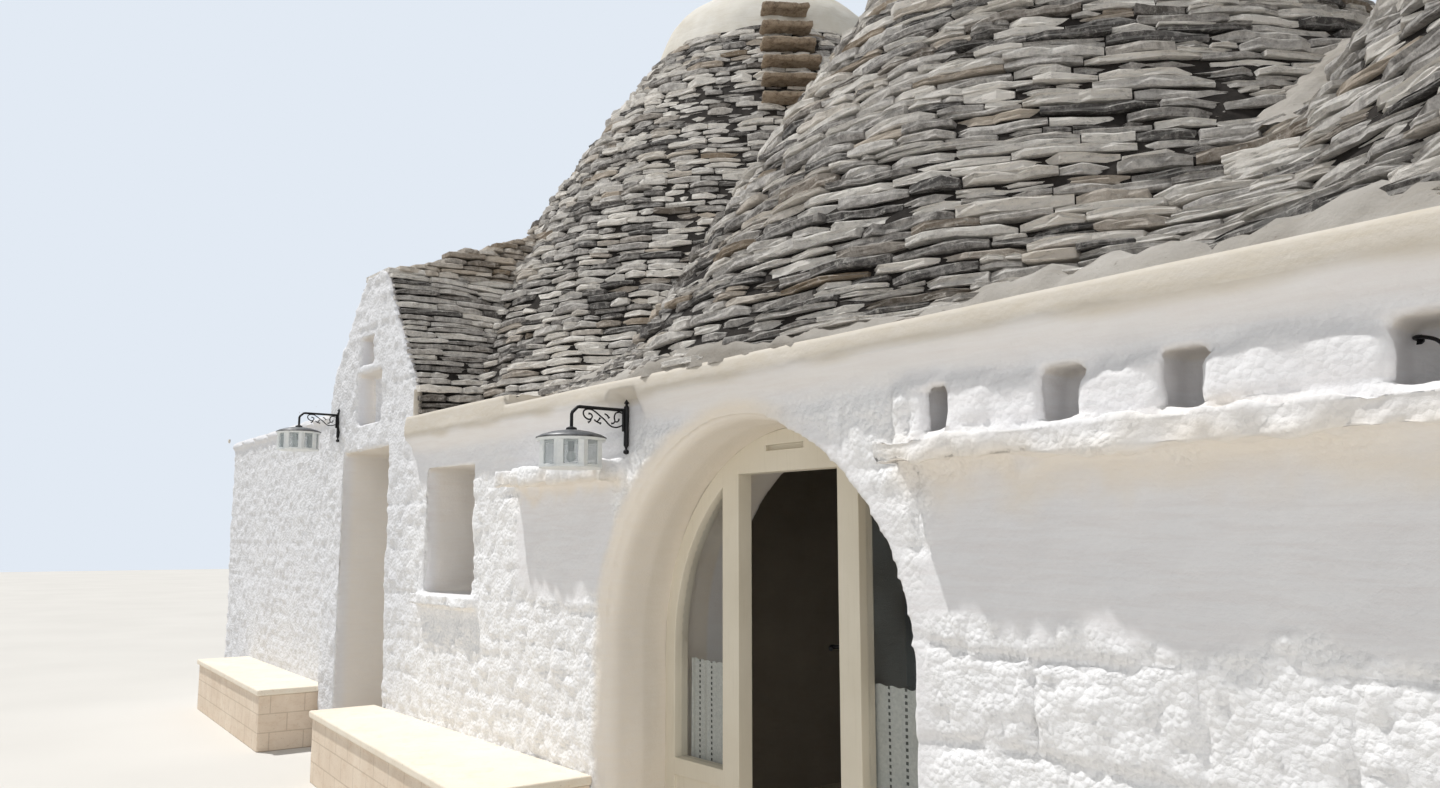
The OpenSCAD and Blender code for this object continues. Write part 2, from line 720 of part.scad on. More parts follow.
module bench_seats() cream() {
    bench(bench_left_x[0], bench_left_x[1],
        annex_y(bench_left_x[0]) - seat_gap, annex_y(bench_left_x[1]) - seat_gap,
        bench_front_left, bench_front_mid, bench_h - seat_t, bench_h);
    bench(bench_right_x[0], bench_right_x[1], 0, 0,
        bench_front_mid, bench_front_right, bench_h - seat_t, bench_h);
}

// Timber frame in the arch: posts, rim, panels under the sidelights
door_x = arch_x0 + door_from_left;
frame_y0 = frame_depth;
frame_y1 = frame_depth + frame_t;

module arch_outline(shrink, foot) {
    rect(arch_x0 + shrink, arch_x1 - shrink, foot, arch_spring);
    intersection() {
        translate([arch_mid, arch_spring]) circle(arch_r - shrink);
        rect(arch_x0, arch_x1, arch_spring - 1, arch_spring + arch_r);
    }
}

// The sidelights end a little under the head of the door opening
sidelight_head = door_h - 40;

module sidelights() intersection() {
    arch_outline(frame_rim, sidelight_sill);
    union() {
        rect(arch_x0, door_x - post_w, 0, sidelight_head);
        rect(door_x + door_w + post_w, arch_x1, 0, sidelight_head);
    }
}

// Sunk field of the panel under a sidelight
panel_border = 80;
panel_sink = 15;
module panel_field(x0, x1) box(x0 + panel_border, x1 - panel_border, frame_y0 - 1,
    frame_y0 + panel_sink, floor_t + panel_border, sidelight_sill - panel_border);

// Letter slot in the head board: its place from the door opening, and its depth
slot_from = 200;
slot_len = 250;
slot_z = 95;
slot_h = 25;
slot_sink = 25;

module arch_door_frame() timber() difference() {
    upright(frame_y0, frame_y1) difference() {
        arch_outline(seat_gap, floor_t);
        sidelights();
        rect(door_x, door_x + door_w, floor_t - 1, door_h);
    }
    panel_field(arch_x0, door_x - post_w / 2);
    panel_field(door_x + door_w + post_w / 2, arch_x1);
    box(door_x + slot_from, door_x + slot_from + slot_len, frame_y0 - 1, frame_y0 + slot_sink,
        door_h + slot_z, door_h + slot_z + slot_h);
}

glass_y = frame_depth + frame_t / 2;

module sidelight_glass() glass() upright(glass_y, glass_y + glass_t) sidelights();

// Net curtains on the inner face of the frame, lapping over it all round
curtain_t = 12;
curtain_lap = 30;
module net_curtains() color([0.95, 0.95, 0.93])
    upright(frame_y1 + seat_gap, frame_y1 + seat_gap + curtain_t) intersection() {
        arch_outline(frame_rim - curtain_lap, sidelight_sill - curtain_lap);
        union() {
            rect(arch_x0, door_x - post_w + curtain_lap, 0, curtain_top);
            rect(door_x + door_w + post_w - curtain_lap, arch_x1, 0, curtain_top);
        }
    }

// Door leaf, hinged on the right post; drawn closed, then opened
leaf_open = 43;
leaf_x0 = door_x + leaf_gap;
leaf_x1 = door_x + door_w - leaf_gap;
leaf_y1 = frame_y1;
leaf_y0 = leaf_y1 - leaf_t;
leaf_lift = 8;
leaf_z0 = floor_t + leaf_lift;
leaf_z1 = door_h - leaf_gap;
hinge_x = leaf_x1 + leaf_gap;
knuckle_r = 9;
hinge_y = leaf_y1 + knuckle_r + 1;
hinge_z = [350, 1450];
knuckle_h = 45;
leaf_rail = 520;

module leaf_pose() translate([hinge_x, hinge_y, 0]) rotate([0, 0, -leaf_open])
    translate([-hinge_x, -hinge_y, 0]) children();

// One half of a butt hinge: a knuckle on the axis and its plate, side 1 on the
// post and side -1 on the leaf
hinge_plate_w = 40;
hinge_plate_t = 3;
module hinge_half(side, z) translate([hinge_x, hinge_y, z]) {
    cylinder(h = knuckle_h, r = knuckle_r);
    translate([side > 0 ? 2 : -2 - hinge_plate_w, leaf_y1 - hinge_y, 0])
        cube([hinge_plate_w, hinge_plate_t, knuckle_h]);
}

module frame_hinges() iron() for (z = hinge_z) hinge_half(1, z);

module leaf_hinges() iron() leaf_pose()
    for (z = hinge_z) hinge_half(-1, z + knuckle_h + seat_gap);

module door_leaf() timber() leaf_pose() difference() {
    box(leaf_x0, leaf_x1, leaf_y0, leaf_y1, leaf_z0, leaf_z1);
    box(leaf_x0 + stile_w, leaf_x1 - stile_w, leaf_y0 - 1, leaf_y1 + 1,
        leaf_rail, leaf_z1 - stile_w);
    box(leaf_x0 + 1.3 * stile_w, leaf_x1 - 1.3 * stile_w, leaf_y0 - 1, leaf_y0 + panel_sink,
        leaf_z0 + 1.3 * stile_w, leaf_rail - 1.3 * stile_w);
}

module door_leaf_glass() glass() leaf_pose()
    box(leaf_x0 + stile_w, leaf_x1 - stile_w, (leaf_y0 + leaf_y1 - glass_t) / 2,
        (leaf_y0 + leaf_y1 + glass_t) / 2, leaf_rail, leaf_z1 - stile_w);

// Lever handle and its plate on the outer face
handle_z = 1060;
handle_plate = [40, 8, 220];
handle_out = 48;
lever_len = 110;
lever_r = 9;
module door_handle() iron() leaf_pose() translate([leaf_x0 + stile_w / 2, leaf_y0, handle_z]) {
    translate([-handle_plate[0] / 2, -handle_plate[1], -handle_plate[2] / 2])
        cube(handle_plate);
    rotate([90, 0, 0]) cylinder(h = handle_out, r = lever_r + 1);
    translate([0, -handle_out, 0]) rotate([0, 90, 0]) cylinder(h = lever_len, r = lever_r);
}

// Closed plank door deep in the gable doorway
gable_door_y = gable_door_depth;
gable_frame_t = 90;
gable_leaf_t = 45;
module gable_door_frame() timber()
    upright(gable_door_y, gable_door_y + gable_frame_t) difference() {
    rect(door_x0, door_x1, floor_t, wall_h);
    rect(door_x0 + frame_bar, door_x1 - frame_bar, floor_t - 1, wall_h - frame_bar);
}

module gable_door() timber()
    box(door_x0 + frame_bar, door_x1 - frame_bar, gable_door_y + gable_frame_t / 3,
        gable_door_y + gable_frame_t / 3 + gable_leaf_t, floor_t, wall_h - frame_bar);

window_frame_t = 60;
module window_frame() timber()
    upright(window_depth, window_depth + window_frame_t) difference() {
    rect(window_x0, window_x1, window_sill_z, window_sill_z + window_h);
    for (side = [0, 1]) window_light(side);
}

window_mid = (window_x0 + window_x1) / 2;
module window_light(side) {
    x0 = side == 0 ? window_x0 + frame_bar : window_mid + frame_bar / 2;
    x1 = side == 0 ? window_mid - frame_bar / 2 : window_x1 - frame_bar;
    rect(x0, x1, window_sill_z + frame_bar, window_sill_z + window_h - frame_bar);
}

module window_glass() glass() upright(window_depth + (window_frame_t - glass_t) / 2,
    window_depth + (window_frame_t + glass_t) / 2) for (side = [0, 1]) window_light(side);

// The sill stands out in front of the wall and past the window on both sides
sill_out = 60;
sill_nose_t = 60;
module window_sill() whitewash() {
    box(window_x0, window_x1, 0, gable_room_front_t, window_sill_z - sill_t, window_sill_z);
    box(window_x0 - sill_out, window_x1 + sill_out, -sill_out, 0,
        window_sill_z - sill_nose_t, window_sill_z);
}

// Wall lamps: an upright bar with a spear tip and a ball foot, an arm bent down at
// its end, two rings under the arm, and a lantern on the arm's end
lamp_from_arch = 190;
lamp_from_gable = 220;
lamp_right_x = arch_x0 + lamp_from_arch;
lamp_left_x = gable_x0 + lamp_from_gable;
bar_w = 22;
bar_up = 12;
bar_down = 180;
spear_h = 24;
arm_r = 8;
bend_r = 45;
arm_drop = 110;
ring_r = [34, 30];
ring_bar_r = 4;

// The arm with its bend: out from the bar, then down to the lantern
module lamp_arm() {
    rotate([90, 0, 0]) cylinder(h = lamp_reach - bend_r, r = arm_r);
    translate([0, bend_r - lamp_reach, -bend_r]) rotate([90, 0, -90])
        rotate_extrude(angle = 90) translate([bend_r, 0]) circle(arm_r, $fn = 32);
    translate([0, -lamp_reach, -arm_drop]) cylinder(h = arm_drop - bend_r, r = arm_r);
    translate([0, -lamp_reach, -arm_drop]) cylinder(h = arm_r, r = 3 * arm_r);
}

module lamp_ring(y, r) translate([0, y, -arm_r / 2 - r]) rotate([0, 90, 0])
    rotate_extrude() translate([r, 0]) circle(ring_bar_r, $fn = 24);

module lamp_bracket() {
    translate([-bar_w / 2, -bar_w, -bar_down]) cube([bar_w, bar_w, bar_down + bar_up]);
    translate([0, -bar_w / 2, bar_up]) cylinder(h = spear_h, r1 = bar_w / 2, r2 = 2);
    translate([0, -0.75 * bar_w, -bar_down]) sphere(0.7 * bar_w);
    lamp_arm();
    lamp_ring(-bar_w - ring_r[0], ring_r[0]);
    lamp_ring(-bar_w - 2 * ring_r[0] - ring_r[1], ring_r[1]);
}

module lamp_brackets() iron() {
    translate([lamp_right_x, 0, lamp_right_z]) lamp_bracket();
    translate([lamp_left_x, 0, lamp_left_z]) lamp_bracket();
}

// Lantern: a shallow round roof, corner posts, a bottom ring, a bulb in a holder
post_r = 8;
pane_t = 4;
ring_h = 14;
bulb_r = 22;
// Top of the lantern under the arm's height, and the foot of its roof
lantern_top = -arm_drop;
eave_z = lantern_top - lantern_roof_h;
body_z = eave_z - lantern_h;

// The roof is the top of a large ball, cut flat under the arm
roof_ball_r = (pow(lantern_r + 2 * post_r, 2) + pow(lantern_roof_h, 2)) / (2 * lantern_roof_h);
roof_flat = 3;
module lantern_roof() intersection() {
    translate([0, 0, eave_z]) cylinder(h = lantern_roof_h, r = lantern_r + post_r);
    translate([0, 0, lantern_top + roof_flat - roof_ball_r]) sphere(roof_ball_r, $fn = 180);
}

module lantern() translate([0, -lamp_reach, 0]) {
    lantern_roof();
    for (i = [0:5]) rotate([0, 0, 60 * i]) translate([lantern_r - 1.3 * post_r, 0, body_z])
        cylinder(h = lantern_h + 2, r = post_r);
    translate([0, 0, body_z]) difference() {
        cylinder(h = ring_h, r = lantern_r);
        translate([0, 0, -1]) cylinder(h = ring_h + 2, r = lantern_r - 4 * post_r);
    }
    translate([0, 0, body_z + lantern_h / 3]) cylinder(h = 2 * lantern_h / 3 + 2, r = bulb_r);
}

module lanterns() color([0.85, 0.86, 0.84]) {
    translate([lamp_right_x, 0, lamp_right_z]) lantern();
    translate([lamp_left_x, 0, lamp_left_z]) lantern();
}

module lantern_pane() translate([0, -lamp_reach, body_z + ring_h]) difference() {
    cylinder(h = lantern_h - ring_h, r = lantern_r - 2 * post_r - pane_t, $fn = 6);
    translate([0, 0, -1])
        cylinder(h = lantern_h, r = lantern_r - 2 * post_r - 2 * pane_t, $fn = 6);
}

module lantern_glass() glass() {
    translate([lamp_right_x, 0, lamp_right_z]) lantern_pane();
    translate([lamp_left_x, 0, lamp_left_z]) lantern_pane();
}

translate([0, shift_y, 0]) {
    floor_slabs();
    front_wall_left();
    front_wall_middle();
    arch_wall();
    front_wall_right();
    left_end_wall();
    right_end_wall();
    back_wall_left();
    back_wall_right();
    annex_cross_wall();
    left_cross_wall();
    right_cross_wall();
    roof_deck();
    annex_parapet();
    annex_coping();
    middle_coping();
    front_coping();
    back_coping();
    cone_left();
    cone_middle();
    cone_right();
    cone_caps();
    pinnacles();
    cone_steps();
    gable_wall();
    gable_roof();
    wall_ledges();
    bench_bases();
    bench_seats();
    arch_door_frame();
    sidelight_glass();
    net_curtains();
    frame_hinges();
    door_leaf();
    leaf_hinges();
    door_leaf_glass();
    door_handle();
    gable_door_frame();
    gable_door();
    window_frame();
    window_glass();
    window_sill();
    lamp_brackets();
    lanterns();
    lantern_glass();
}
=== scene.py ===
import bpy
import bmesh
import math
import random
import numpy as np
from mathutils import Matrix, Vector


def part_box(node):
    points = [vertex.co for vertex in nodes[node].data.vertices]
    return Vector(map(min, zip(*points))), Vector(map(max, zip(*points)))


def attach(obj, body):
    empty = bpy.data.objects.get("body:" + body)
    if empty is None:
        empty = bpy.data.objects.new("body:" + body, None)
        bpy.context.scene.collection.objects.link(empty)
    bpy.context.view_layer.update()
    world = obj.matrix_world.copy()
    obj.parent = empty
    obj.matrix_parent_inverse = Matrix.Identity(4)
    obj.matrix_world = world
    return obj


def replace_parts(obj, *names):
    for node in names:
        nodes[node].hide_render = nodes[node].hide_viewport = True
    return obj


# The trullo house, dressed: limewashed walls, dry-stone cones, plaster caps,
# painted timber, iron lamps and net curtains.
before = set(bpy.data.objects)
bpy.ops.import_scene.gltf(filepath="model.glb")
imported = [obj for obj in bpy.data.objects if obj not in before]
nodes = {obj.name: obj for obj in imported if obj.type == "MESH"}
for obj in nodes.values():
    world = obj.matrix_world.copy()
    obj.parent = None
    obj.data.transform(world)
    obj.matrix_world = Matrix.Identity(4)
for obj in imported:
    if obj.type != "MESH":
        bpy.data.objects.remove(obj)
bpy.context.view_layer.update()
scene = bpy.context.scene

# Wall face, half the house's length, top of the walls and deck. Then the cones' bulge, and the
# left, middle and right cone: axis, radii at the foot and under the cap, height to the cap
FACE = -3.2
HALF = 7.8
WALL = 2.2
DECK = 2.3
BULGE = 0.045
A = dict(x=-2.95, y=FACE + 3.6, r0=3.33, r1=1.06, h=3.56)
B = dict(x=0.9, y=FACE + 2.75, r0=2.78, r1=0.68, h=3.10)
C = dict(x=4.65, y=FACE + 2.65, r0=2.70, r1=0.68, h=3.0)
# Gable: its feet, eaves and blunt top, as places along the wall and heights
GABLE_LEFT = (-4.05, 2.70)
GABLE_RIGHT = (-2.36, 2.55)
GABLE_TOP = (-3.40, -2.97, 3.48)
# Places along the wall: the doorway under the gable, the middle coping's end, the arch's wall
DOORWAY_X = -3.5
MIDDLE_COPING_END = -0.9
ARCH_WALL = (-0.25, 2.5)
# Arch: middle, spring height and radius of its opening
ARCH_X = 1.085
ARCH_Z = 1.055
ARCH_R = 0.985
# Wall lamps: place along the wall and height of the arm, and how far the lantern hangs out
LAMPS = [(0.29, 2.155), (-3.83, 2.50)]
LAMP_REACH = 0.305


def linked(name, data):
    obj = bpy.data.objects.new(name, data)
    scene.collection.objects.link(obj)
    return obj


def aim(obj, along):
    obj.rotation_euler = Vector(along).to_track_quat("-Z", "Y").to_euler()


# Camera at the photo's place, looking left along the wall and a little up
cam = bpy.data.cameras.new("camera")
cam.lens = 27.775
cam.sensor_width = 36
cam.clip_end = 200
cam_obj = linked("camera", cam)
cam_obj.location = (4.7, FACE - 2.8, 1.55)
heading = math.radians(37.15)
pitch = math.radians(7.49)
aim(cam_obj, (-math.cos(heading) * math.cos(pitch), math.sin(heading) * math.cos(pitch), math.sin(pitch)))
scene.camera = cam_obj


# Colours are written as sRGB 0 to 255
def srgb(c):
    shares = [v / 255 for v in c]
    return (*[v / 12.92 if v <= 0.04045 else ((v + 0.055) / 1.055) ** 2.4 for v in shares], 1)


class Tree:
    """Shader nodes, made and linked."""

    def __init__(self, tree):
        self.tree = tree

    def node(self, kind, **inputs):
        n = self.tree.nodes.new(kind)
        for key, value in inputs.items():
            self.put(n.inputs[key.replace("_", " ")], value)
        return n

    def put(self, socket, value):
        if isinstance(value, bpy.types.NodeSocket):
            self.tree.links.new(value, socket)
        else:
            socket.default_value = value

    def math(self, op, a, b=0.0, c=0.0, clamp=False):
        n = self.tree.nodes.new("ShaderNodeMath")
        n.operation = op
        n.use_clamp = clamp
        for socket, value in zip(n.inputs, (a, b, c)):
            self.put(socket, value)
        return n.outputs[0]

    def times(self, a, b, clamp=False):
        return self.math("MULTIPLY", a, b, clamp=clamp)

    def less(self, a):
        """What is left of 1."""
        return self.math("SUBTRACT", 1.0, a)


class Look(Tree):
    """A procedural material, built node by node."""

    def __init__(self, name, rough, spec):
        self.mat = bpy.data.materials.new(name)
        self.mat.use_nodes = True
        super().__init__(self.mat.node_tree)
        self.bsdf = self.tree.nodes["Principled BSDF"]
        self.give("Roughness", rough)
        self.give("Specular IOR Level", spec)
        self.coord = self.node("ShaderNodeTexCoord").outputs["Object"]

    def give(self, name, value):
        self.put(self.bsdf.inputs[name], value)

    def colour(self, value):
        self.give("Base Color", value)

    def stretch(self, *scale):
        return self.node("ShaderNodeMapping", Vector=self.coord, Scale=scale).outputs["Vector"]

    def noise(self, scale, detail=5, rough=0.6, vec=None, warp=0.0):
        n = self.node("ShaderNodeTexNoise", Vector=vec or self.coord, Scale=scale, Detail=detail,
            Roughness=rough, Distortion=warp)
        return n.outputs["Fac"]

    def cells(self, scale):
        return self.node("ShaderNodeTexVoronoi", Vector=self.coord, Scale=scale).outputs["Distance"]

    def ramp(self, fac, stops):
        n = self.node("ShaderNodeValToRGB", Fac=fac)
        e = n.color_ramp.elements
        while len(e) < len(stops):
            e.new(1)
        for el, (at, c) in zip(e, stops):
            el.position = at
            el.color = srgb(c) if isinstance(c, tuple) else (c, c, c, 1)
        return n.outputs["Color"]

    def mix(self, fac, a, b):
        n = self.tree.nodes.new("ShaderNodeMix")
        n.data_type = "RGBA"
        self.put(n.inputs[0], fac)
        self.put(n.inputs[6], srgb(a) if isinstance(a, tuple) else a)
        self.put(n.inputs[7], srgb(b) if isinstance(b, tuple) else b)
        return n.outputs[2]

    def spread(self, base, colour, pattern, low, high, share=1.0):
        """A colour laid over a base where a pattern is high."""
        return self.mix(self.ramp(pattern, [(low, 0.0), (high, share)]), base, colour)

    def part(self, vec, axis):
        return self.node("ShaderNodeSeparateXYZ", Vector=vec).outputs[axis]

    def attribute(self, name, out="Color"):
        n = self.node("ShaderNodeAttribute")
        n.attribute_name = name
        return n.outputs[out]

    def facing_up(self):
        return self.part(self.node("ShaderNodeNewGeometry").outputs["Normal"], "Z")

    def facing_down(self):
        return self.times(self.facing_up(), -1.0, clamp=True)

    def bump(self, height, strength, distance):
        n = self.node("ShaderNodeBump", Height=height, Strength=strength, Distance=distance)
        below = self.bsdf.inputs["Normal"]
        if below.is_linked:
            self.put(n.inputs["Normal"], below.links[0].from_socket)
        self.put(below, n.outputs["Normal"])


def plaster(name, light, shade, warm, streak, grain, spots=0.0):
    """Brushed limewash: soft patches, level brush marks, a fine gritty skin, and undersides in the warm colour
    as painted bounce light.
    """
    k = Look(name, 0.9, 0.2)
    base = k.spread(shade, light, k.noise(1.7, 6, 0.65), 0.35, 0.75)
    base = k.spread(base, warm, k.noise(9, 7, 0.7, k.stretch(1, 1, 6)), 0.5, 0.8, 0.5 * streak)
    # Painted bounce light: faces turned down take the warm colour, as if lit from the pale ground.
    base = k.mix(k.times(k.facing_down(), 0.75), base, warm)
    if spots:
        base = k.spread(base, (120, 112, 100), k.noise(34, 3, 0.5), 0.68, 0.76, spots)
    k.colour(base)
    k.bump(k.noise(5, 5, 0.6, k.stretch(1, 1, 4)), 0.5 * streak, 0.012)
    k.bump(k.noise(60, 8, 0.75), 0.55 * grain, 0.006)
    return k.mat


def lime_paint():
    """Limewash over rough stone: the mesh says where it is rough, warm or cream; the warm share is painted
    bounce light, and calm plaster and the front's left end are greyed as painted shade.
    """
    k = Look("limewash_on_stone", 0.9, 0.2)
    tone = k.attribute("tone")
    rough = k.part(tone, "X")
    patches = k.noise(1.9, 6, 0.65)
    streak = k.ramp(k.noise(5, 7, 0.7, k.stretch(0.6, 1, 7), 0.5), [(0.42, 0.0), (0.7, 0.6)])
    pit_shade = k.ramp(k.noise(60, 4, 0.6), [(0.3, 1.0), (0.42, 0.0)])
    brush = k.ramp(k.noise(9, 7, 0.7, k.stretch(1, 1, 5)), [(0.3, 0.75), (0.65, 1.0)])
    base = k.spread((243, 243, 245), (250, 250, 251), patches, 0.3, 0.75)
    # Painted shade: calm plaster lies in the shade of the ledges, copings and arch, and is greyed there.
    base = k.mix(k.times(k.less(rough), 0.45), base, (222, 221, 224))
    base = k.mix(k.times(streak, k.less(rough)), base, (226, 221, 221))
    # Painted shade: past x = -2.0 the front's left end greys towards (214, 216, 222).
    base = k.mix(k.attribute("tone", "Alpha"), (214, 216, 222), base)
    # Painted shade: grey specks in the pits of the rough limewash.
    base = k.mix(k.times(k.times(pit_shade, rough), 0.25), base, (214, 210, 206))
    # Painted bounce light: the warm share, under the ledges, in the left openings' jambs, on undersides and on
    # the arch's reveal, where part of it is the reveal's real cream paint.
    warm = k.mix(patches, (242, 233, 220), (235, 225, 210))
    base = k.mix(k.times(k.part(tone, "Y"), brush), base, warm)
    cream = k.mix(patches, (215, 206, 191), (205, 197, 184))
    base = k.mix(k.times(k.part(tone, "Z"), brush), base, cream)
    # Painted bounce light: faces turned down take a warm cream, as if lit from the pale ground.
    k.colour(k.mix(k.times(k.facing_down(), 0.4), base, (224, 215, 200)))
    relief = k.math("MULTIPLY_ADD", rough, 0.85, 0.04, clamp=True)
    k.bump(k.noise(19, 6, 0.6), relief, 0.014)
    k.bump(k.less(k.cells(46)), relief, 0.007)
    k.bump(k.noise(110, 5, 0.7), 0.5, 0.003)
    return k.mat


def rock(name, ramp, lichen_and_highlight, joint):
    """Weathered limestone slabs, each with its own tone from the mesh."""
    k = Look(name, 0.92, 0.25)
    tone = k.attribute("tone")
    grain = k.math("MULTIPLY_ADD", k.noise(21, 9, 0.78), 0.75, -0.1)
    streak = k.noise(13, 8, 0.75, k.stretch(1, 1, 4))
    base = k.ramp(k.math("MULTIPLY_ADD", k.part(tone, "X"), 0.6, grain), ramp)
    # Tops facing up are lighter: partly lichen and bleaching, partly a painted highlight from the light above.
    base = k.mix(k.times(k.facing_up(), 0.45, clamp=True), base, lichen_and_highlight)
    base = k.mix(k.times(k.part(tone, "Y"), 0.6), base, (178, 156, 128))
    base = k.spread(base, joint, streak, 0.54, 0.66, 0.6)
    base = k.spread(base, lichen_and_highlight, k.noise(38, 6, 0.7), 0.57, 0.68, 0.6)
    k.colour(k.spread(base, joint, k.noise(9, 8, 0.75), 0.58, 0.7, 0.45))
    k.bump(streak, 0.9, 0.011)
    k.bump(k.noise(34, 9, 0.8), 1.0, 0.012)
    k.bump(k.noise(110, 6, 0.8), 0.6, 0.003)
    return k.mat


# Painted shade: the cores of the cones and the gable roof, seen in the gaps between the stones, are near black
# for the shade in the gaps.
def dark_core():
    k = Look("shaded_rubble", 0.95, 0.1)
    k.colour(k.ramp(k.noise(12, 7, 0.7), [(0.3, (34, 32, 31)), (0.7, (62, 58, 55))]))
    k.bump(k.noise(40, 6, 0.7), 0.8, 0.01)
    return k.mat


def ashlar(name, light, shade, warm, rough, blocks=None):
    """Pale sawn limestone with tooling marks and warm veins, in blocks of a length and height."""
    k = Look(name, rough, 0.35)
    base = k.spread(shade, light, k.noise(3.2, 6, 0.6, None, 0.6), 0.3, 0.75)
    base = k.spread(base, warm, k.noise(7, 8, 0.75, k.stretch(1, 1, 2.2), 1.2), 0.52, 0.68, 0.5)
    base = k.spread(base, (170, 152, 130), k.noise(80, 3, 0.5), 0.62, 0.72, 0.35)
    if blocks:
        along = k.math("ADD", k.part(k.coord, "X"), k.part(k.coord, "Y"))
        flat = k.node("ShaderNodeCombineXYZ", X=along, Y=k.part(k.coord, "Z")).outputs[0]
        seam = k.node("ShaderNodeTexBrick", Vector=flat, Scale=1.0, Mortar_Size=0.004,
            Brick_Width=blocks[0], Row_Height=blocks[1]).outputs["Fac"]
        base = k.mix(k.times(seam, 0.35), base, (160, 138, 114))
        k.bump(k.less(seam), 0.6, 0.003)
    k.colour(base)
    k.bump(k.noise(30, 6, 0.65), 0.35, 0.004)
    return k.mat


def painted_timber():
    k = Look("cream_paint", 0.55, 0.4)
    grain = k.noise(60, 5, 0.6, k.stretch(1, 1, 0.06))
    base = k.spread((218, 210, 192), (230, 223, 207), k.noise(2.5, 5, 0.6), 0.3, 0.8)
    k.colour(k.spread(base, (194, 184, 162), grain, 0.55, 0.75, 0.25))
    k.bump(grain, 0.18, 0.002)
    return k.mat


def metal(name, rough, metallic, cloud, stops, grain, strength):
    k = Look(name, rough, 0.5)
    k.colour(k.ramp(k.noise(*cloud), stops))
    k.give("Metallic", metallic)
    k.bump(k.noise(grain, 4, 0.6), strength, 0.001)
    return k.mat


def glass(name, tint, alpha, spec):
    k = Look(name, 0.05, spec)
    k.colour(k.ramp(k.noise(3, 3, 0.5), [(0.3, tint), (0.8, (200, 212, 214))]))
    k.give("Alpha", alpha)
    k.bump(k.noise(4, 2, 0.5), 0.05, 0.002)
    return k.mat


def net():
    """White net with rows of small dark motifs."""
    k = Look("dotted_net", 0.95, 0.1)
    x = k.math("PINGPONG", k.part(k.coord, "X"), 0.045)
    z = k.math("PINGPONG", k.part(k.coord, "Z"), 0.0125)
    dot = k.times(k.math("LESS_THAN", x, 0.0065), k.math("LESS_THAN", z, 0.0065))
    weave = k.ramp(k.noise(90, 3, 0.6), [(0.35, (196, 200, 197)), (0.7, (216, 219, 215))])
    k.colour(k.mix(dot, weave, (78, 80, 78)))
    k.give("Alpha", k.math("MULTIPLY_ADD", dot, 0.4, 0.84, clamp=True))
    return k.mat


LIME = lime_paint()
CAP = plaster("cap_plaster", (236, 234, 228), (214, 208, 196), (196, 184, 160), 0.8, 1.0)
FILLET = plaster("rough_mortar", (206, 202, 196), (160, 154, 146), (178, 166, 146), 0.5, 2.5, 0.6)
INNER = plaster("room_limewash", (176, 166, 152), (158, 148, 134), (150, 134, 114), 0.6, 0.8)
ROCK = rock("grey_limestone", [(0.3, (88, 86, 85)), (0.42, (160, 156, 153)), (0.55, (210, 206, 202)),
    (0.68, (236, 232, 226)), (0.82, (250, 245, 238))], (230, 227, 220), (112, 107, 104))
BROWN_ROCK = rock("brown_limestone", [(0.12, (98, 84, 70)), (0.21, (136, 118, 100)), (0.3, (172, 154, 134))],
    (150, 142, 126), (64, 54, 46))
CORE = dark_core()
BENCH_TOP = ashlar("bench_top_stone", (240, 232, 217), (231, 220, 202), (224, 204, 178), 0.75)
BENCH_SIDE = ashlar("bench_side_stone", (236, 222, 204), (219, 201, 181), (206, 180, 154), 0.85,
    (0.25, 0.135))
PAVING = ashlar("floor_stone", (226, 214, 196), (208, 194, 174), (190, 168, 142), 0.7)
TIMBER = painted_timber()
IRON = metal("forged_iron", 0.5, 0.6, (45, 4, 0.6), [(0.3, (16, 16, 18)), (0.75, (36, 34, 34))], 120, 0.3)
ENAMEL = metal("white_enamel", 0.4, 0.0, (20, 5, 0.6), [(0.35, (216, 220, 221)), (0.7, (236, 238, 236))],
    60, 0.1)
LAMP_ROOF = metal("aged_roof_metal", 0.45, 0.5, (26, 5, 0.65), [(0.3, (58, 58, 60)), (0.75, (122, 122, 122))],
    90, 0.2)
PANE = glass("window_glass_look", (70, 72, 70), 0.08, 0.25)
LAMP_PANE = glass("lantern_glass_look", (196, 204, 206), 0.3, 0.5)
NET = net()


# Smooth value noise at points p, in cells of a size in metres, from -1 to 1
def vnoise(p, size, seed):
    q = p / size
    i = np.floor(q).astype(np.int64)
    f = q - i
    f = f * f * (3 - 2 * f)
    out = np.zeros(len(p))
    for c in range(8):
        d = np.array([c & 1, (c >> 1) & 1, (c >> 2) & 1])
        j = i + d
        h = (j[:, 0] * 73856093) ^ (j[:, 1] * 19349663) ^ (j[:, 2] * 83492791) ^ (seed * 1299709)
        h = (h ^ (h >> 13)) * 1274126177
        h = (h ^ (h >> 16)) & 0xFFFFFF
        w = np.where(d, f, 1 - f).prod(axis=1)
        out += w * (h / 8388607.5 - 1)
    return out


def fbm(p, size, octaves, seed):
    out = np.zeros(len(p))
    amp = 1.0
    for k in range(octaves):
        out += amp * vnoise(p, size, seed + k)
        amp *= 0.55
        size *= 0.5
    return out


def smooth(a, b, x):
    t = np.clip((x - a) / (b - a), 0, 1)
    return t * t * (3 - 2 * t)


# Making mesh objects
def piece(name, mesh, mat, shade=True):
    obj = linked(name, mesh)
    mesh.materials.clear()
    mesh.materials.append(mat)
    if shade:
        mesh.polygons.foreach_set("use_smooth", [True] * len(mesh.polygons))
    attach(obj, "house")
    return obj


def mesh_from(name, verts, faces):
    me = bpy.data.meshes.new(name)
    me.from_pydata(verts, [], faces)
    me.validate()
    me.update()
    return me


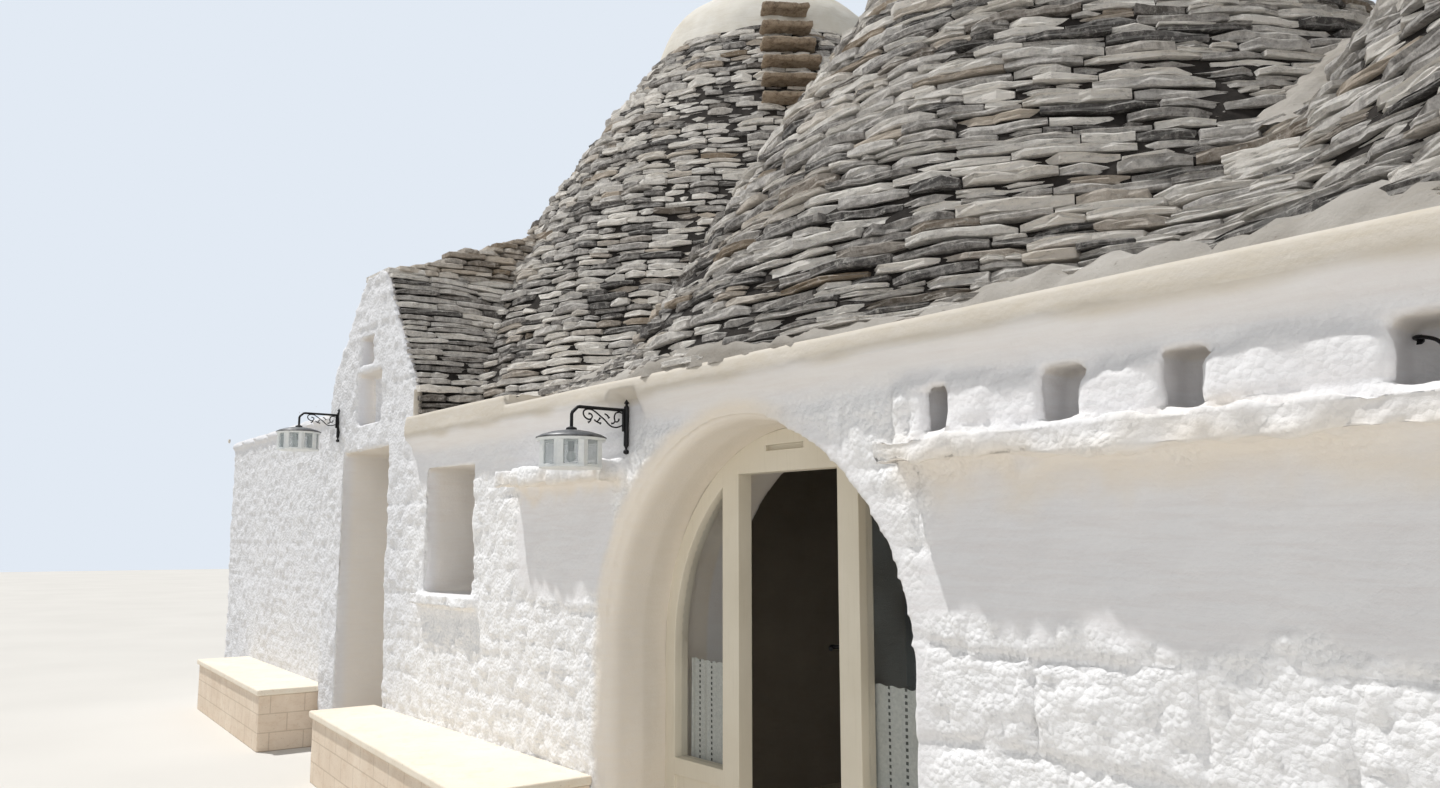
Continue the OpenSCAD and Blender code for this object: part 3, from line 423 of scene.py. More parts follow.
def add_tone(me, tones):
    a = me.color_attributes.new("tone", "FLOAT_COLOR", "POINT")
    a.data.foreach_set("color", np.array(tones, dtype=np.float32).ravel())


def tidy_normals(me):
    bm = bmesh.new()
    bm.from_mesh(me)
    bmesh.ops.recalc_face_normals(bm, faces=bm.faces)
    bm.to_mesh(me)
    bm.free()


def solid_copy(names, keep=None):
    """One mesh of several CAD nodes, welded; keep is a function that clips it."""
    bm = bmesh.new()
    for n in names:
        bm.from_mesh(nodes[n].data)
    bmesh.ops.remove_doubles(bm, verts=bm.verts, dist=1e-4)
    if keep:
        keep(bm)
    me = bpy.data.meshes.new("tmp")
    bm.to_mesh(me)
    bm.free()
    return me


def clip(co, no):
    """Cuts away what lies past a plane, and closes the cut."""
    def run(bm):
        r = bmesh.ops.bisect_plane(bm, geom=bm.verts[:] + bm.edges[:] + bm.faces[:], plane_co=co,
            plane_no=no, clear_outer=True)
        edges = [e for e in r["geom_cut"] if isinstance(e, bmesh.types.BMEdge)]
        bmesh.ops.holes_fill(bm, edges=edges)
    return run


def modified(me, kind, **settings):
    """A mesh with one modifier applied."""
    obj = linked("tmp", me)
    mod = obj.modifiers.new("change", kind)
    for key, value in settings.items():
        setattr(mod, key, value)
    deps = bpy.context.evaluated_depsgraph_get()
    out = bpy.data.meshes.new_from_object(obj.evaluated_get(deps))
    bpy.data.objects.remove(obj)
    bpy.data.meshes.remove(me)
    return out


def voxels(me, size):
    return modified(me, "REMESH", mode="VOXEL", voxel_size=size, use_smooth_shade=True)


def finish_node(name, mat, bevel=0.0, segments=2):
    """A CAD node that keeps its shape: soft edges and its own finish."""
    obj = nodes[name]
    obj.data.materials.clear()
    obj.data.materials.append(mat)
    if bevel:
        weld = obj.modifiers.new("weld", "WELD")
        weld.merge_threshold = 1e-5
        flat = obj.modifiers.new("flat", "DECIMATE")
        flat.decimate_type = "DISSOLVE"
        flat.angle_limit = math.radians(1)
        edge = obj.modifiers.new("edge", "BEVEL")
        edge.width = bevel
        edge.segments = segments
        edge.limit_method = "ANGLE"
        edge.angle_limit = math.radians(40)
        edge.harden_normals = True


def read(items, key):
    out = np.empty(len(items) * 3)
    items.foreach_get(key, out)
    return out.reshape(-1, 3)


def points(me):
    return read(me.vertices, "co"), read(me.vertices, "normal")


def set_points(me, p):
    me.vertices.foreach_set("co", p.ravel())
    me.update()


def face_middles(me):
    return read(me.polygons, "center")


def take(me, mask, name):
    """A new mesh of the faces where mask is true."""
    bm = bmesh.new()
    bm.from_mesh(me)
    bm.faces.ensure_lookup_table()
    bmesh.ops.delete(bm, geom=[f for f, m in zip(bm.faces, mask) if not m], context="FACES")
    out = bpy.data.meshes.new(name)
    bm.to_mesh(out)
    bm.free()
    return out


# Dry stone
class Pile:
    """Slabs of stone gathered into one mesh, each with its own tone."""

    def __init__(self, seed):
        self.r = random.Random(seed)
        self.verts = []
        self.faces = []
        self.tones = []

    def slab(self, place, u0, u1, z, h, out, depth, cuts=3, brown=0.0, mortar=0.0, fine=True):
        """One slab along a course: u in metres along it, out past the face."""
        r = self.r
        base = len(self.verts)
        tone = (r.betavariate(1.3, 1.3), max(0.0, min(1.0, brown)), mortar, 1.0)
        yaw = r.uniform(-0.018, 0.018) if u1 - u0 > 0.15 else r.uniform(-0.01, 0.01)
        wedge = r.uniform(0, 0.3) * h * r.choice((-1, 1))
        tilt = r.uniform(-0.08, 0.3) * h
        skew = r.uniform(-0.14, 0.14) * h
        count = 7 if fine else 5
        worn = 0.6 + 0.8 * r.random()
        for i in range(cuts + 1):
            t = i / cuts
            end = i == 0 or i == cuts
            u = u0 + (u1 - u0) * t
            if not end:
                u += r.uniform(-0.3, 0.3) * (u1 - u0) / cuts
            back = r.uniform(0.008, 0.04) if end else r.uniform(-0.009, 0.014)
            o = out + yaw * (2 * t - 1) - back * worn
            thin = max(0.0, wedge * (t - 0.5)) + (r.uniform(0.03, 0.3) if end else r.uniform(0.0, 0.2)) * h
            top = z + h - thin + skew * (t - 0.5)
            low = z + (r.uniform(0.03, 0.26) if end else r.uniform(0.0, 0.14)) * h + skew * (t - 0.5)
            k = max(0.2 * h, top - low)
            profile = [(-depth, low + tilt), (o - k * r.uniform(0.05, 0.35), low)]
            if fine:
                for wear, from_low, to_low in ((0.012, 0.08, 0.22), (0.014, 0.4, 0.6), (0.016, 0.74, 0.92)):
                    profile.append((o - wear * r.random() * worn, low + k * r.uniform(from_low, to_low)))
            else:
                profile.append((o - 0.008 * r.random(), low + k * r.uniform(0.4, 0.7)))
            profile.append((o - k * r.uniform(0.1, 0.45), top))
            profile.append((-depth, top + tilt))
            for a, b in profile:
                self.verts.append(place(u, a, b))
                self.tones.append(tone)
        for i in range(cuts):
            a = base + count * i
            for j in range(count):
                self.faces.append((a + j, a + (j + 1) % count, a + count + (j + 1) % count, a + count + j))
        self.faces.append(tuple(base + j for j in reversed(range(count))))
        self.faces.append(tuple(base + count * cuts + j for j in range(count)))

    def object(self, name):
        me = bpy.data.meshes.new(name)
        me.from_pydata(self.verts, [], self.faces)
        add_tone(me, self.tones)
        tidy_normals(me)
        return piece(name, me, ROCK, shade=False)


def cone_r(c, z):
    u = min(1.0, max(0.0, (z - DECK) / c["h"]))
    return c["r0"] + (c["r1"] - c["r0"]) * u + BULGE * math.sin(math.pi * u)


def apart(p, q):
    return math.hypot(q["x"] - p["x"], q["y"] - p["y"])


def hollow_r(z, p, q):
    """Radius of the rounded valley between two cones at a height."""
    d = apart(p, q)
    r = (cone_r(p, z) + cone_r(q, z)) / 2
    if p is A and z > DECK + 0.35:
        return 0.35 - 0.2 * min(1, (z - DECK) / 1.5)
    foot = 0.3 + 1.6 * (z - DECK) if p is A else 0.24 + 1.35 * (z - DECK)
    reach = (p["y"] + q["y"]) / 2 - FACE - foot
    if reach >= r - 0.02:
        return 6.0
    return min(6.0, max(0.1, (reach ** 2 - r ** 2 + (d / 2) ** 2) / (2 * (r - reach))))


def arc(cx, cy, r, a0, a1, step=0.05):
    n = max(2, int(abs(a1 - a0) * r / step))
    return [(cx + r * math.cos(a0 + (a1 - a0) * i / n), cy + r * math.sin(a0 + (a1 - a0) * i / n))
        for i in range(n + 1)]


def joined(p, q, z, side):
    """Where the valley's arc touches both cones: centre, radius and the three angles."""
    rp, rq = cone_r(p, z), cone_r(q, z)
    R = hollow_r(z, p, q)
    dx, dy = q["x"] - p["x"], q["y"] - p["y"]
    d = math.hypot(dx, dy)
    a = (d * d + (rp + R) ** 2 - (rq + R) ** 2) / (2 * d)
    h = math.sqrt(max(0.0, (rp + R) ** 2 - a * a)) * side
    fx, fy = p["x"] + (dx * a - dy * h) / d, p["y"] + (dy * a + dx * h) / d
    return fx, fy, R, math.atan2(fy - p["y"], fx - p["x"]), math.atan2(fy - q["y"], fx - q["x"])


def outlines(z):
    """Closed plan outlines of the merged cones at a height."""
    tau = 2 * math.pi
    cones = [c for c in (A, B, C) if z < DECK + c["h"] + 0.001]
    groups = []
    for c in cones:
        last = groups[-1][-1] if groups else None
        if last and apart(c, last) < cone_r(last, z) + cone_r(c, z) - 0.02:
            groups[-1].append(c)
        else:
            groups.append([c])
    out = []
    for g in groups:
        pts = []
        if len(g) == 1:
            c = g[0]
            out.append(arc(c["x"], c["y"], cone_r(c, z), 0.5 * math.pi, 2.5 * math.pi))
            continue
        # along the front from left to right, round the right end, and back along the rear
        for side, order in ((-1, g), (1, g[::-1])):
            for i, c in enumerate(order):
                nxt = order[i + 1] if i + 1 < len(order) else None
                prev = order[i - 1] if i else None
                if side < 0:
                    a0 = joined(prev, c, z, side)[4] if prev else math.pi
                    a1 = joined(c, nxt, z, side)[3] if nxt else tau
                    while a0 < 0:
                        a0 += tau
                    while a1 < a0:
                        a1 += tau
                else:
                    a0 = joined(c, prev, z, side)[3] if prev else 0.0
                    a1 = joined(nxt, c, z, side)[4] if nxt else math.pi
                pts += arc(c["x"], c["y"], cone_r(c, z), a0, a1)
                if nxt:
                    p, q = (c, nxt) if side < 0 else (nxt, c)
                    fx, fy, R, ap, aq = joined(p, q, z, side)
                    first, second = (ap, aq) if side < 0 else (aq, ap)
                    b0, b1 = first + math.pi, second + math.pi
                    while b1 > b0:
                        b1 -= tau
                    while b0 - b1 > math.pi:
                        b1 += tau
                    pts += arc(fx, fy, R, b0, b1)[1:-1]
        out.append(pts + pts[:1])
    return out


class Track:
    """A plan outline walked by length, with its outward normals."""

    def __init__(self, pts):
        p = np.array(pts)
        keep = np.ones(len(p), dtype=bool)
        keep[1:] = np.hypot(*(p[1:] - p[:-1]).T) > 1e-4
        p = p[keep]
        step = p[1:] - p[:-1]
        size = np.hypot(step[:, 0], step[:, 1])
        self.at = np.concatenate([[0], np.cumsum(size)])
        tangent = step / size[:, None]
        close = tangent[-1:] + tangent[:1]
        mid = np.vstack([close, tangent[:-1] + tangent[1:], close])
        mid /= np.hypot(mid[:, 0], mid[:, 1])[:, None]
        self.p = p
        self.n = np.column_stack([mid[:, 1], -mid[:, 0]])
        self.length = float(self.at[-1])

    def point(self, u, out):
        u %= self.length
        i = min(len(self.at) - 2, max(0, int(np.searchsorted(self.at, u)) - 1))
        t = (u - self.at[i]) / (self.at[i + 1] - self.at[i])
        x = self.p[i] * (1 - t) + self.p[i + 1] * t
        n = self.n[i] * (1 - t) + self.n[i + 1] * t
        return float(x[0] + n[0] * out), float(x[1] + n[1] * out)


def wander(x, y, z):
    """Courses rise and fall a little, and lie level again under the caps and at the foot."""
    long = 0.018 * math.sin(1.9 * x + 1.3 * y + 0.6 * z)
    short = 0.012 * math.sin(4.3 * x - 3.1 * y - 1.7 * z)
    ripple = 0.006 * math.sin(9.7 * x + 8.3 * y + 2.3 * z)
    return min(1.0, (z - DECK) / 0.3) * (long + short + ripple)


def gable_top(x):
    """Height of the gable's outline at a place along the wall."""
    if x < GABLE_TOP[0]:
        foot, tip = GABLE_LEFT, GABLE_TOP[0]
    elif x > GABLE_TOP[1]:
        foot, tip = GABLE_RIGHT, GABLE_TOP[1]
    else:
        return GABLE_TOP[2]
    return foot[1] + (GABLE_TOP[2] - foot[1]) * (x - foot[0]) / (tip - foot[0])


def in_gable(x, y, z):
    return GABLE_LEFT[0] + 0.02 < x < GABLE_RIGHT[0] and y < FACE + 1.5 and z < gable_top(x) - 0.06


def valley_line(x, y):
    """Signed distance from the plumb plane between the middle and the right cone."""
    dx, dy = C["x"] - B["x"], C["y"] - B["y"]
    d = math.hypot(dx, dy)
    return ((x - B["x"]) * dx + (y - B["y"]) * dy) / d - (d * d + B["r0"] ** 2 - C["r0"] ** 2) / (2 * d)


piles = [Pile(3), Pile(5), Pile(8)]
course = 1.0


def lay_courses():
    rnd = random.Random(44)
    z = DECK + 0.004
    top = max(c["h"] for c in (A, B, C)) + DECK
    while z < top - 0.012:
        h = rnd.uniform(0.040, 0.066) * course
        for c in (A, B, C):
            rim = DECK + c["h"]
            if z < rim - 0.01 < z + 1.6 * h:
                h = rim - 0.008 - z
        for pts in outlines(z):
            track = Track(pts)
            u = rnd.uniform(0, 0.3)
            end = u + track.length
            while u < end - 0.03:
                x, y = track.point(u + 0.12, 0)
                gaps = [math.hypot(x - c["x"], y - c["y"]) - cone_r(c, z) for c in (A, B, C)]
                pile = piles[gaps.index(min(gaps))]
                near = (A, B, C)[gaps.index(min(gaps))]
                small = near is A
                n = rnd.uniform(0.11, 0.34) if small else rnd.triangular(0.14, 0.62, 0.26)
                if end - u - n < 0.1:
                    n = end - u
                x, y = track.point(u + n / 2, 0)
                if not in_gable(x, y, z) and z + 0.5 * h < DECK + near["h"]:
                    front = y < near["y"] + 0.5
                    out = rnd.uniform(0.004, 0.05 if small else 0.066)
                    brown = rnd.random() ** 3 if rnd.random() < 0.35 else 0.0
                    v = abs(valley_line(x, y) + 0.12)
                    wash = max(0.0, 1 - v / (0.42 + 0.35 * rnd.random())) if near is not A else 0.0
                    mortar = min(1.0, wash * rnd.uniform(0.6, 1.4) + 0.25 * rnd.random() ** 4)
                    cuts = max(2, round(n / (0.075 if front else 0.16)))
                    gap = rnd.uniform(0.002, 0.012)

                    def place(a, o, zz):
                        px, py = track.point(a, o)
                        free = 1 if zz < DECK + near["h"] - 0.25 else 0.3
                        return (px, py, zz + wander(px, py, zz) * free)

                    def lay(u0, u1, low, high, face, pieces, tint):
                        depth = 0.15 + 0.4 * h
                        pile.slab(place, u0, u1 - gap, low, high, face, depth, pieces, tint, mortar, front)

                    if rnd.random() < 0.2 and h > 0.045 and not small:
                        k = rnd.uniform(0.4, 0.6)
                        m = n * rnd.uniform(0.35, 0.65)
                        few = max(2, cuts // 2)
                        lay(u, u + n, z, h * k - 0.002, out, cuts, brown)
                        lay(u, u + m, z + h * k, h * (1 - k) - 0.004, out - 0.008, few, 0)
                        lay(u + m, u + n, z + h * k, h * (1 - k) - 0.004, out - 0.016, few, brown)
                    else:
                        lay(u, u + n, z, h - rnd.uniform(0.002, 0.014), out, cuts, brown)
                u += n
        z += h


lay_courses()
for name, pile in zip(("left", "middle", "right"), piles):
    pile.object("dry_stone_" + name)
# The cores take the near-black painted shade of the gaps.
for n in ("cone_left", "cone_middle", "cone_right", "gable_roof"):
    finish_node(n, CORE)
finish_node("roof_deck", FILLET)


# The gable's stone roof: courses along both slopes, from the wall's face back to the cone
def gable_face(side, z):
    foot, tip = (GABLE_LEFT, GABLE_TOP[0]) if side < 0 else (GABLE_RIGHT, GABLE_TOP[1])
    if z < foot[1]:
        return foot[0] + 0.02 * side * (foot[1] - z) / 0.4
    return foot[0] + (tip - foot[0]) * (z - foot[1]) / (GABLE_TOP[2] - foot[1])


gable = Pile(12)
for side in (-1, 1):
    z = 2.3 if side > 0 else 2.62
    while z < GABLE_TOP[2] - 0.03:
        h = min(gable.r.uniform(0.036, 0.066) * course, GABLE_TOP[2] - z)
        x = gable_face(side, z + h / 2) + (0.06 if side > 0 and z < 2.64 else 0)
        rad = cone_r(A, z)
        reach = A["y"] - math.sqrt(max(0.01, rad ** 2 - (x - A["x"]) ** 2)) + 0.06

        def place(u, out, zz, x=x, side=side):
            across = side * (out + 0.012 * math.sin(3 * u + zz))
            return (x + across, u, zz + 0.012 * math.sin(4 * u + 2 * zz))

        u = FACE + 0.016 + 0.02 * gable.r.random()
        while u < reach:
            n = gable.r.uniform(0.16, 0.48)
            out = gable.r.uniform(0.012, 0.045)
            brown = 0.2 * gable.r.random() ** 3
            gable.slab(place, u, min(u + n, reach) - 0.006, z, h - 0.005, out, 0.16, 5, brown)
            u += n
        z += h
ridge = (GABLE_TOP[0] + GABLE_TOP[1]) / 2
u = FACE + 0.02
while u < FACE + 1.1:
    n = gable.r.uniform(0.22, 0.4)
    gable.slab(lambda a, out, zz: (ridge + out, a, zz), u, u + n - 0.01, GABLE_TOP[2] - 0.02, 0.05, 0.25,
        0.25, 4)
    u += n

# The hump of small stones that climbs from the gable's ridge to the cone
HUMP_Y = [0.1, 0.37, 0.55, 0.81, 1.12, 1.33, 1.5]
HUMP_Z = [3.5, 3.58, 3.69, 3.76, 3.89, 3.97, 4.12]
z = GABLE_TOP[2]
while z < HUMP_Z[-1] - 0.03:
    h = gable.r.uniform(0.036, 0.055) * course
    wide = 0.25 - 0.17 * (z - GABLE_TOP[2]) / 0.6
    reach = A["y"] - cone_r(A, z) + 0.12
    for side in (-1, 1):

        def place(a, out, zz, wide=wide, side=side):
            return (ridge + side * (wide + out), a, zz + 0.01 * math.sin(5 * a))

        u = FACE + float(np.interp(z, HUMP_Z, HUMP_Y)) + gable.r.uniform(-0.03, 0.03)
        while u < reach:
            n = gable.r.uniform(0.1, 0.3)
            out = gable.r.uniform(-0.01, 0.03)
            brown = gable.r.uniform(0.3, 0.9)
            gable.slab(place, u, min(u + n, reach) - 0.006, z, h - 0.003, out, 0.14, 4, brown)
            u += n
    z += h
gable.object("dry_stone_gable")


# Rough mortar: at the foot of the cones, and in the valleys between them
def strip(name, rows, rough, seed):
    """A band of mortar through rows of points, roughened."""
    verts = [p for row in rows for p in row]
    w = len(rows[0])
    faces = []
    for i in range(len(rows) - 1):
        for j in range(w - 1):
            a = i * w + j
            faces.append((a, a + w, a + w + 1, a + 1))
    me = mesh_from(name, verts, faces)
    tidy_normals(me)
    p, n = points(me)
    d = rough * (0.7 * fbm(p, 0.09, 4, seed) + 0.6 * vnoise(p, 0.03, seed + 9))
    set_points(me, p + n * d[:, None])
    piece(name, me, FILLET)


def foot_mortar():
    """A rough band at the foot of the merged cones, ragged along its upper edge."""
    track = Track(outlines(DECK + 0.01)[0])
    n = int(track.length / (0.035))
    at = np.array([track.point(track.length * i / n, 0) + (0.0,) for i in range(n)])
    ragged = 0.5 + 0.5 * fbm(at, 0.5, 3, 71)
    fine = vnoise(at, 0.07, 72)
    section = [(-0.12, 1.1), (0.0, 1.05), (0.045, 0.85), (0.07, 0.5), (0.085, 0.22), (0.1, 0.0), (0.1, -0.35)]
    rows = []
    for i in range(n + 1):
        k = i % n
        high = (0.03 + 0.07 * ragged[k] + 0.02 * fine[k]) * (1 + 0.9 * min(1, max(0, (at[k][0] - 1.4) / 2)))
        row = []
        for out, up in section:
            z = DECK + up * high
            lean = -0.62 * max(0, up) * high
            x, y = track.point(track.length * i / n, out + lean)
            row.append((x, max(y, FACE - 0.056 + 0.012 * up), max(z, DECK - 0.02)))
        rows.append(row)
    strip("foot_mortar", rows, 0.016, 21)


foot_mortar()


def valley_mortar(name, p, q, side, seed, foot):
    """Mortar down the valley between two cones, thicker in the middle, ragged at the sides."""
    wide, proud = 0.16, 0.05
    rows = []
    z = DECK + foot
    while z < DECK + min(p["h"], q["h"]) and apart(p, q) <= cone_r(p, z) + cone_r(q, z) - 0.03:
        fx, fy, R, ap, aq = joined(p, q, z, side)
        a0, a1 = ap + math.pi, aq + math.pi
        while a0 - a1 > math.pi:
            a1 += 2 * math.pi
        while a1 - a0 > math.pi:
            a1 -= 2 * math.pi
        mid, half = (a0 + a1) / 2, (a1 - a0) / 2
        reach = min(abs(half) * R, wide * (0.7 + 0.5 * (z - DECK)))
        k = reach / R * (1 if half > 0 else -1)
        row = []
        for i in range(13):
            t = i / 6 - 1
            up = proud * (1 - abs(t) ** 1.6) - 0.03 * abs(t) ** 3
            a = mid + k * t
            row.append((fx + (R - up) * math.cos(a), fy + (R - up) * math.sin(a), z + 0.4 * up))
        rows.append(row)
        z += 0.02
    strip("valley_mortar_" + name, rows, 0.018, seed)


valley_mortar("left", A, B, -1, 31, 0.03)
valley_mortar("left_back", A, B, 1, 32, 0.03)
valley_mortar("right", B, C, -1, 33, 0.75)
valley_mortar("right_back", B, C, 1, 34, 0.75)


# Whitewashed walls: block joints, rough lime and smooth plaster
def joints(u, z):
    """How near points are to the joints between blocks: 1 on a joint."""
    r = np.random.RandomState(17)
    rows = [-0.05]
    while rows[-1] < 3.6:
        rows.append(rows[-1] + r.uniform(0.2, 0.34))
    rows = np.array(rows)
    k = np.clip(np.searchsorted(rows, z) - 1, 0, len(rows) - 2)
    d = np.minimum(z - rows[k], rows[k + 1] - z)
    for i in range(len(rows) - 1):
        xs = [-HALF - 1.5]
        while xs[-1] < HALF + 1.5:
            xs.append(xs[-1] + r.uniform(0.26, 0.62))
        xs = np.array(xs)
        m = k == i
        j = np.clip(np.searchsorted(xs, u[m]) - 1, 0, len(xs) - 2)
        d[m] = np.minimum(d[m], np.minimum(u[m] - xs[j], xs[j + 1] - u[m]))
    return np.clip(1 - d / 0.024, 0, 1)


def in_box(p, x0, x1, z0, z1, soft, seed):
    """1 inside a box on the wall's face, with a ragged soft border."""
    x = p[:, 0] + 0.06 * vnoise(p, 0.16, seed) + 0.03 * vnoise(p, 0.05, seed + 1)
    z = p[:, 2] + 0.06 * vnoise(p, 0.16, seed + 2) + 0.03 * vnoise(p, 0.05, seed + 3)
    return smooth(x0 - soft, x0 + soft, x) * smooth(x1 + soft, x1 - soft, x) \
        * smooth(z0 - soft, z0 + soft, z) * smooth(z1 + soft, z1 - soft, z)


def arch_distance(p):
    return np.hypot(p[:, 0] - ARCH_X, np.maximum(0, p[:, 2] - ARCH_Z)) - ARCH_R


# Smoother patches of plaster in the ledges' shadows and under the copings, greyed there as painted shade: how
# smooth, left, right, foot, top, border and seed
PATCHES = [(0.9, 2.12, 9, 1.31, 1.8, 0.03, 120), (0.55, 2.12, 9, 1.8, 2.2, 0.05, 122),
    (0.85, -0.8, 0.2, 1.27, 1.86, 0.03, 124), (0.6, -2.3, 0.3, 1.9, 2.2, 0.05, 128)]


def skin(p, n):
    """Rough, warm and cream shares of the limewash at points p with normals n; the warm share is mostly
    painted bounce light.
    """
    x, y, z = p[:, 0], p[:, 1] - FACE, p[:, 2]
    face = smooth(0.06, 0.02, y)
    # The wall is calm under the copings too, where lime_paint greys it as painted shade.
    coping = smooth(2.02, 2.14, z) * (x > GABLE_RIGHT[0]) + smooth(2.42, 2.5, z) * (x < GABLE_LEFT[0])
    calm = 0.93 * np.clip(coping, 0, 1)
    for share, *box in PATCHES:
        calm = np.maximum(calm, share * in_box(p, *box))
    around = smooth(0.1, 0.03, arch_distance(p)) * (x < ARCH_X + 0.2) * smooth(-0.05, 0.3, z)
    calm = np.maximum(calm, around)
    outside = (y < 0.03) | (n[:, 1] < -0.5) | (np.abs(x) > HALF - 0.1) | (y > 5.7)
    rough = np.where(outside, 1 - calm, 0.08)
    rough *= 1 - 0.15 * smooth(-2.0, -2.6, x)
    rough *= 0.35 + 0.65 * smooth(0.02, 0.14, arch_distance(p))
    # Painted bounce light: warm under the ledges, on the arch's reveal (there partly its real cream paint), in
    # the left openings' jambs and on undersides.
    under = in_box(p, 2.02, 9, 1.70, 1.84, 0.09, 132) + in_box(p, -0.86, 0.28, 1.78, 1.86, 0.06, 136)
    warm = 0.8 * np.clip(under, 0, 1) * face
    ring = smooth(0.12, 0.05, arch_distance(p) + 0.015 * vnoise(p, 0.12, 141))
    left = smooth(ARCH_X + 0.5, ARCH_X + 0.1, x)
    ring *= np.maximum(left, smooth(0.01, 0.05, y))
    warm = np.maximum(warm, 0.85 * ring * (z > 0.02) * (y < 0.6))
    jamb = (np.abs(n[:, 0]) > 0.6) * smooth(0.03, 0.12, y) * (y < 1.2) * (x < -1)
    warm = np.maximum(warm, 0.5 * jamb)
    warm = np.maximum(warm, 0.6 * (n[:, 2] < -0.6) * (y > 0.03) * (z > 1.5))
    line = z + 0.018 * vnoise(p, 0.22, 140)
    cream = smooth(2.175, 2.225, line) * (x > GABLE_RIGHT[0])
    cream += smooth(2.55, 2.6, line) * (x < GABLE_LEFT[0])
    cream = np.maximum(cream, 0.5 * ring * smooth(0.2, 0.24, y) * (y < 0.36) * (z < 2.2))
    return np.clip(rough, 0, 1), np.clip(warm, 0, 1), np.clip(cream, 0, 1)


def lime(p, n, rough):
    """How far limewash stands in or out at points p with normals n."""
    side = np.abs(n[:, 0]) > np.abs(n[:, 1])
    u = np.where(side, p[:, 1], p[:, 0]) + 0.03 * vnoise(p, 0.35, 91)
    block = joints(u, p[:, 2] + 0.024 * vnoise(p, 0.4, 92))
    block *= np.clip(0.65 + 0.9 * vnoise(p, 0.8, 93), 0, 1) * (rough > 0.12)
    lumps = np.abs(vnoise(p, 0.065, 95)) + 0.6 * np.abs(vnoise(p, 0.043, 96))
    d = 0.009 * fbm(p, 0.7, 2, 97) + 0.004 * fbm(p, 0.22, 3, 98)
    d += rough * (0.018 * lumps - 0.007 + 0.006 * vnoise(p, 0.15, 101))
    band = in_box(p, 2.0, 9, 1.83, 2.06, 0.025, 106) * (p[:, 1] < FACE + 0.03) * (p[:, 1] > FACE - 0.03)
    d += band * (0.027 + 0.007 * vnoise(p, 0.1, 110))
    nose = (p[:, 2] > WALL + 0.02) & (p[:, 1] < FACE + 0.1)
    d += np.where(nose, 0.005 * vnoise(p, 0.22, 102) + 0.002 * vnoise(p, 0.07, 103), 0)
    ledge = (p[:, 1] < FACE - 0.02) & (p[:, 2] > 1.75) & (p[:, 2] < 1.95)
    d += np.where(ledge, 0.014 * vnoise(p, 0.11, 104) + 0.012 * vnoise(p, 0.05, 105), 0)
    return d - 0.019 * rough * block * (0.35 + 0.65 * smooth(-0.6, 1.6, p[:, 0]))


def rounded_arch(p):
    """Rounds the arch's left edge, where the plaster turns in from the wall's face."""
    r = 0.095
    d, y = arch_distance(p), p[:, 1] - FACE
    left = smooth(ARCH_X + 0.4, ARCH_X, p[:, 0]) * (p[:, 2] > 0.01)
    u, v = np.minimum(d, r) - r, np.minimum(y, r) - r
    size = np.maximum(1e-6, np.hypot(u, v))
    corner = (d < r) & (y < r) & (d > -0.05) & (y > -0.05)
    cut = np.where(corner, (r * size / np.maximum(1e-6, np.maximum(-u, -v)) - r) * left, 0)
    out = p.copy()
    out[:, 1] -= cut * v / size
    round_x, round_z = p[:, 0] - ARCH_X, np.maximum(0, p[:, 2] - ARCH_Z)
    reach = np.maximum(1e-6, np.hypot(round_x, round_z))
    out[:, 0] -= cut * u / size * round_x / reach
    out[:, 2] -= cut * u / size * round_z / reach
    return out


def squared_nose(p):
    """Squares the copings' noses to a flat face with a worn upper edge."""
    out = p.copy()
    for x0, x1, foot, top in ((GABLE_RIGHT[0], MIDDLE_COPING_END, 2.225, 2.36),
            (MIDDLE_COPING_END, 9, 2.225, DECK)):
        u = (FACE + 0.03 - p[:, 1]) / 0.1
        v = (p[:, 2] - foot) / (top - foot)
        near = (p[:, 0] > x0) & (p[:, 0] < x1) & (u > 0) & (v > 0)
        k = np.where(near, np.clip(np.maximum(u, v), 0.6, 1), 1) ** -0.75
        out[:, 1] = np.where(near, FACE + 0.03 - u * k * 0.1, out[:, 1])
        out[:, 2] = np.where(near, foot + v * k * (top - foot), out[:, 2])
    # The cove lies flat round the right lamp's bar
    free = smooth(0.21, 0.26, p[:, 0]) * smooth(0.46, 0.38, p[:, 0])
    free *= smooth(2.25, 2.22, p[:, 2]) * (p[:, 2] > 1.97)
    out[:, 1] += free * (np.maximum(out[:, 1], FACE + 0.006) - out[:, 1])
    return out


def limed(names, size, keep=None):
    """CAD nodes as one mesh under rough limewash, in voxels of a size."""
    me = voxels(solid_copy(names, keep), size * (1))
    p, n = points(me)
    rough, warm, cream = skin(p, n)
    inner = (p[:, 1] > FACE + 0.73) & (np.abs(p[:, 0]) < HALF - 0.15) & (p[:, 2] < DECK)
    d = np.where(inner, 0, lime(p, n, rough))
    set_points(me, squared_nose(rounded_arch(p + n * d[:, None])))
    # The tone's fourth share greys the front's left end: painted shade.
    add_tone(me, np.stack([rough, warm, cream, 1 - 0.45 * smooth(-2.0, -2.6, p[:, 0])], axis=1))
    return me


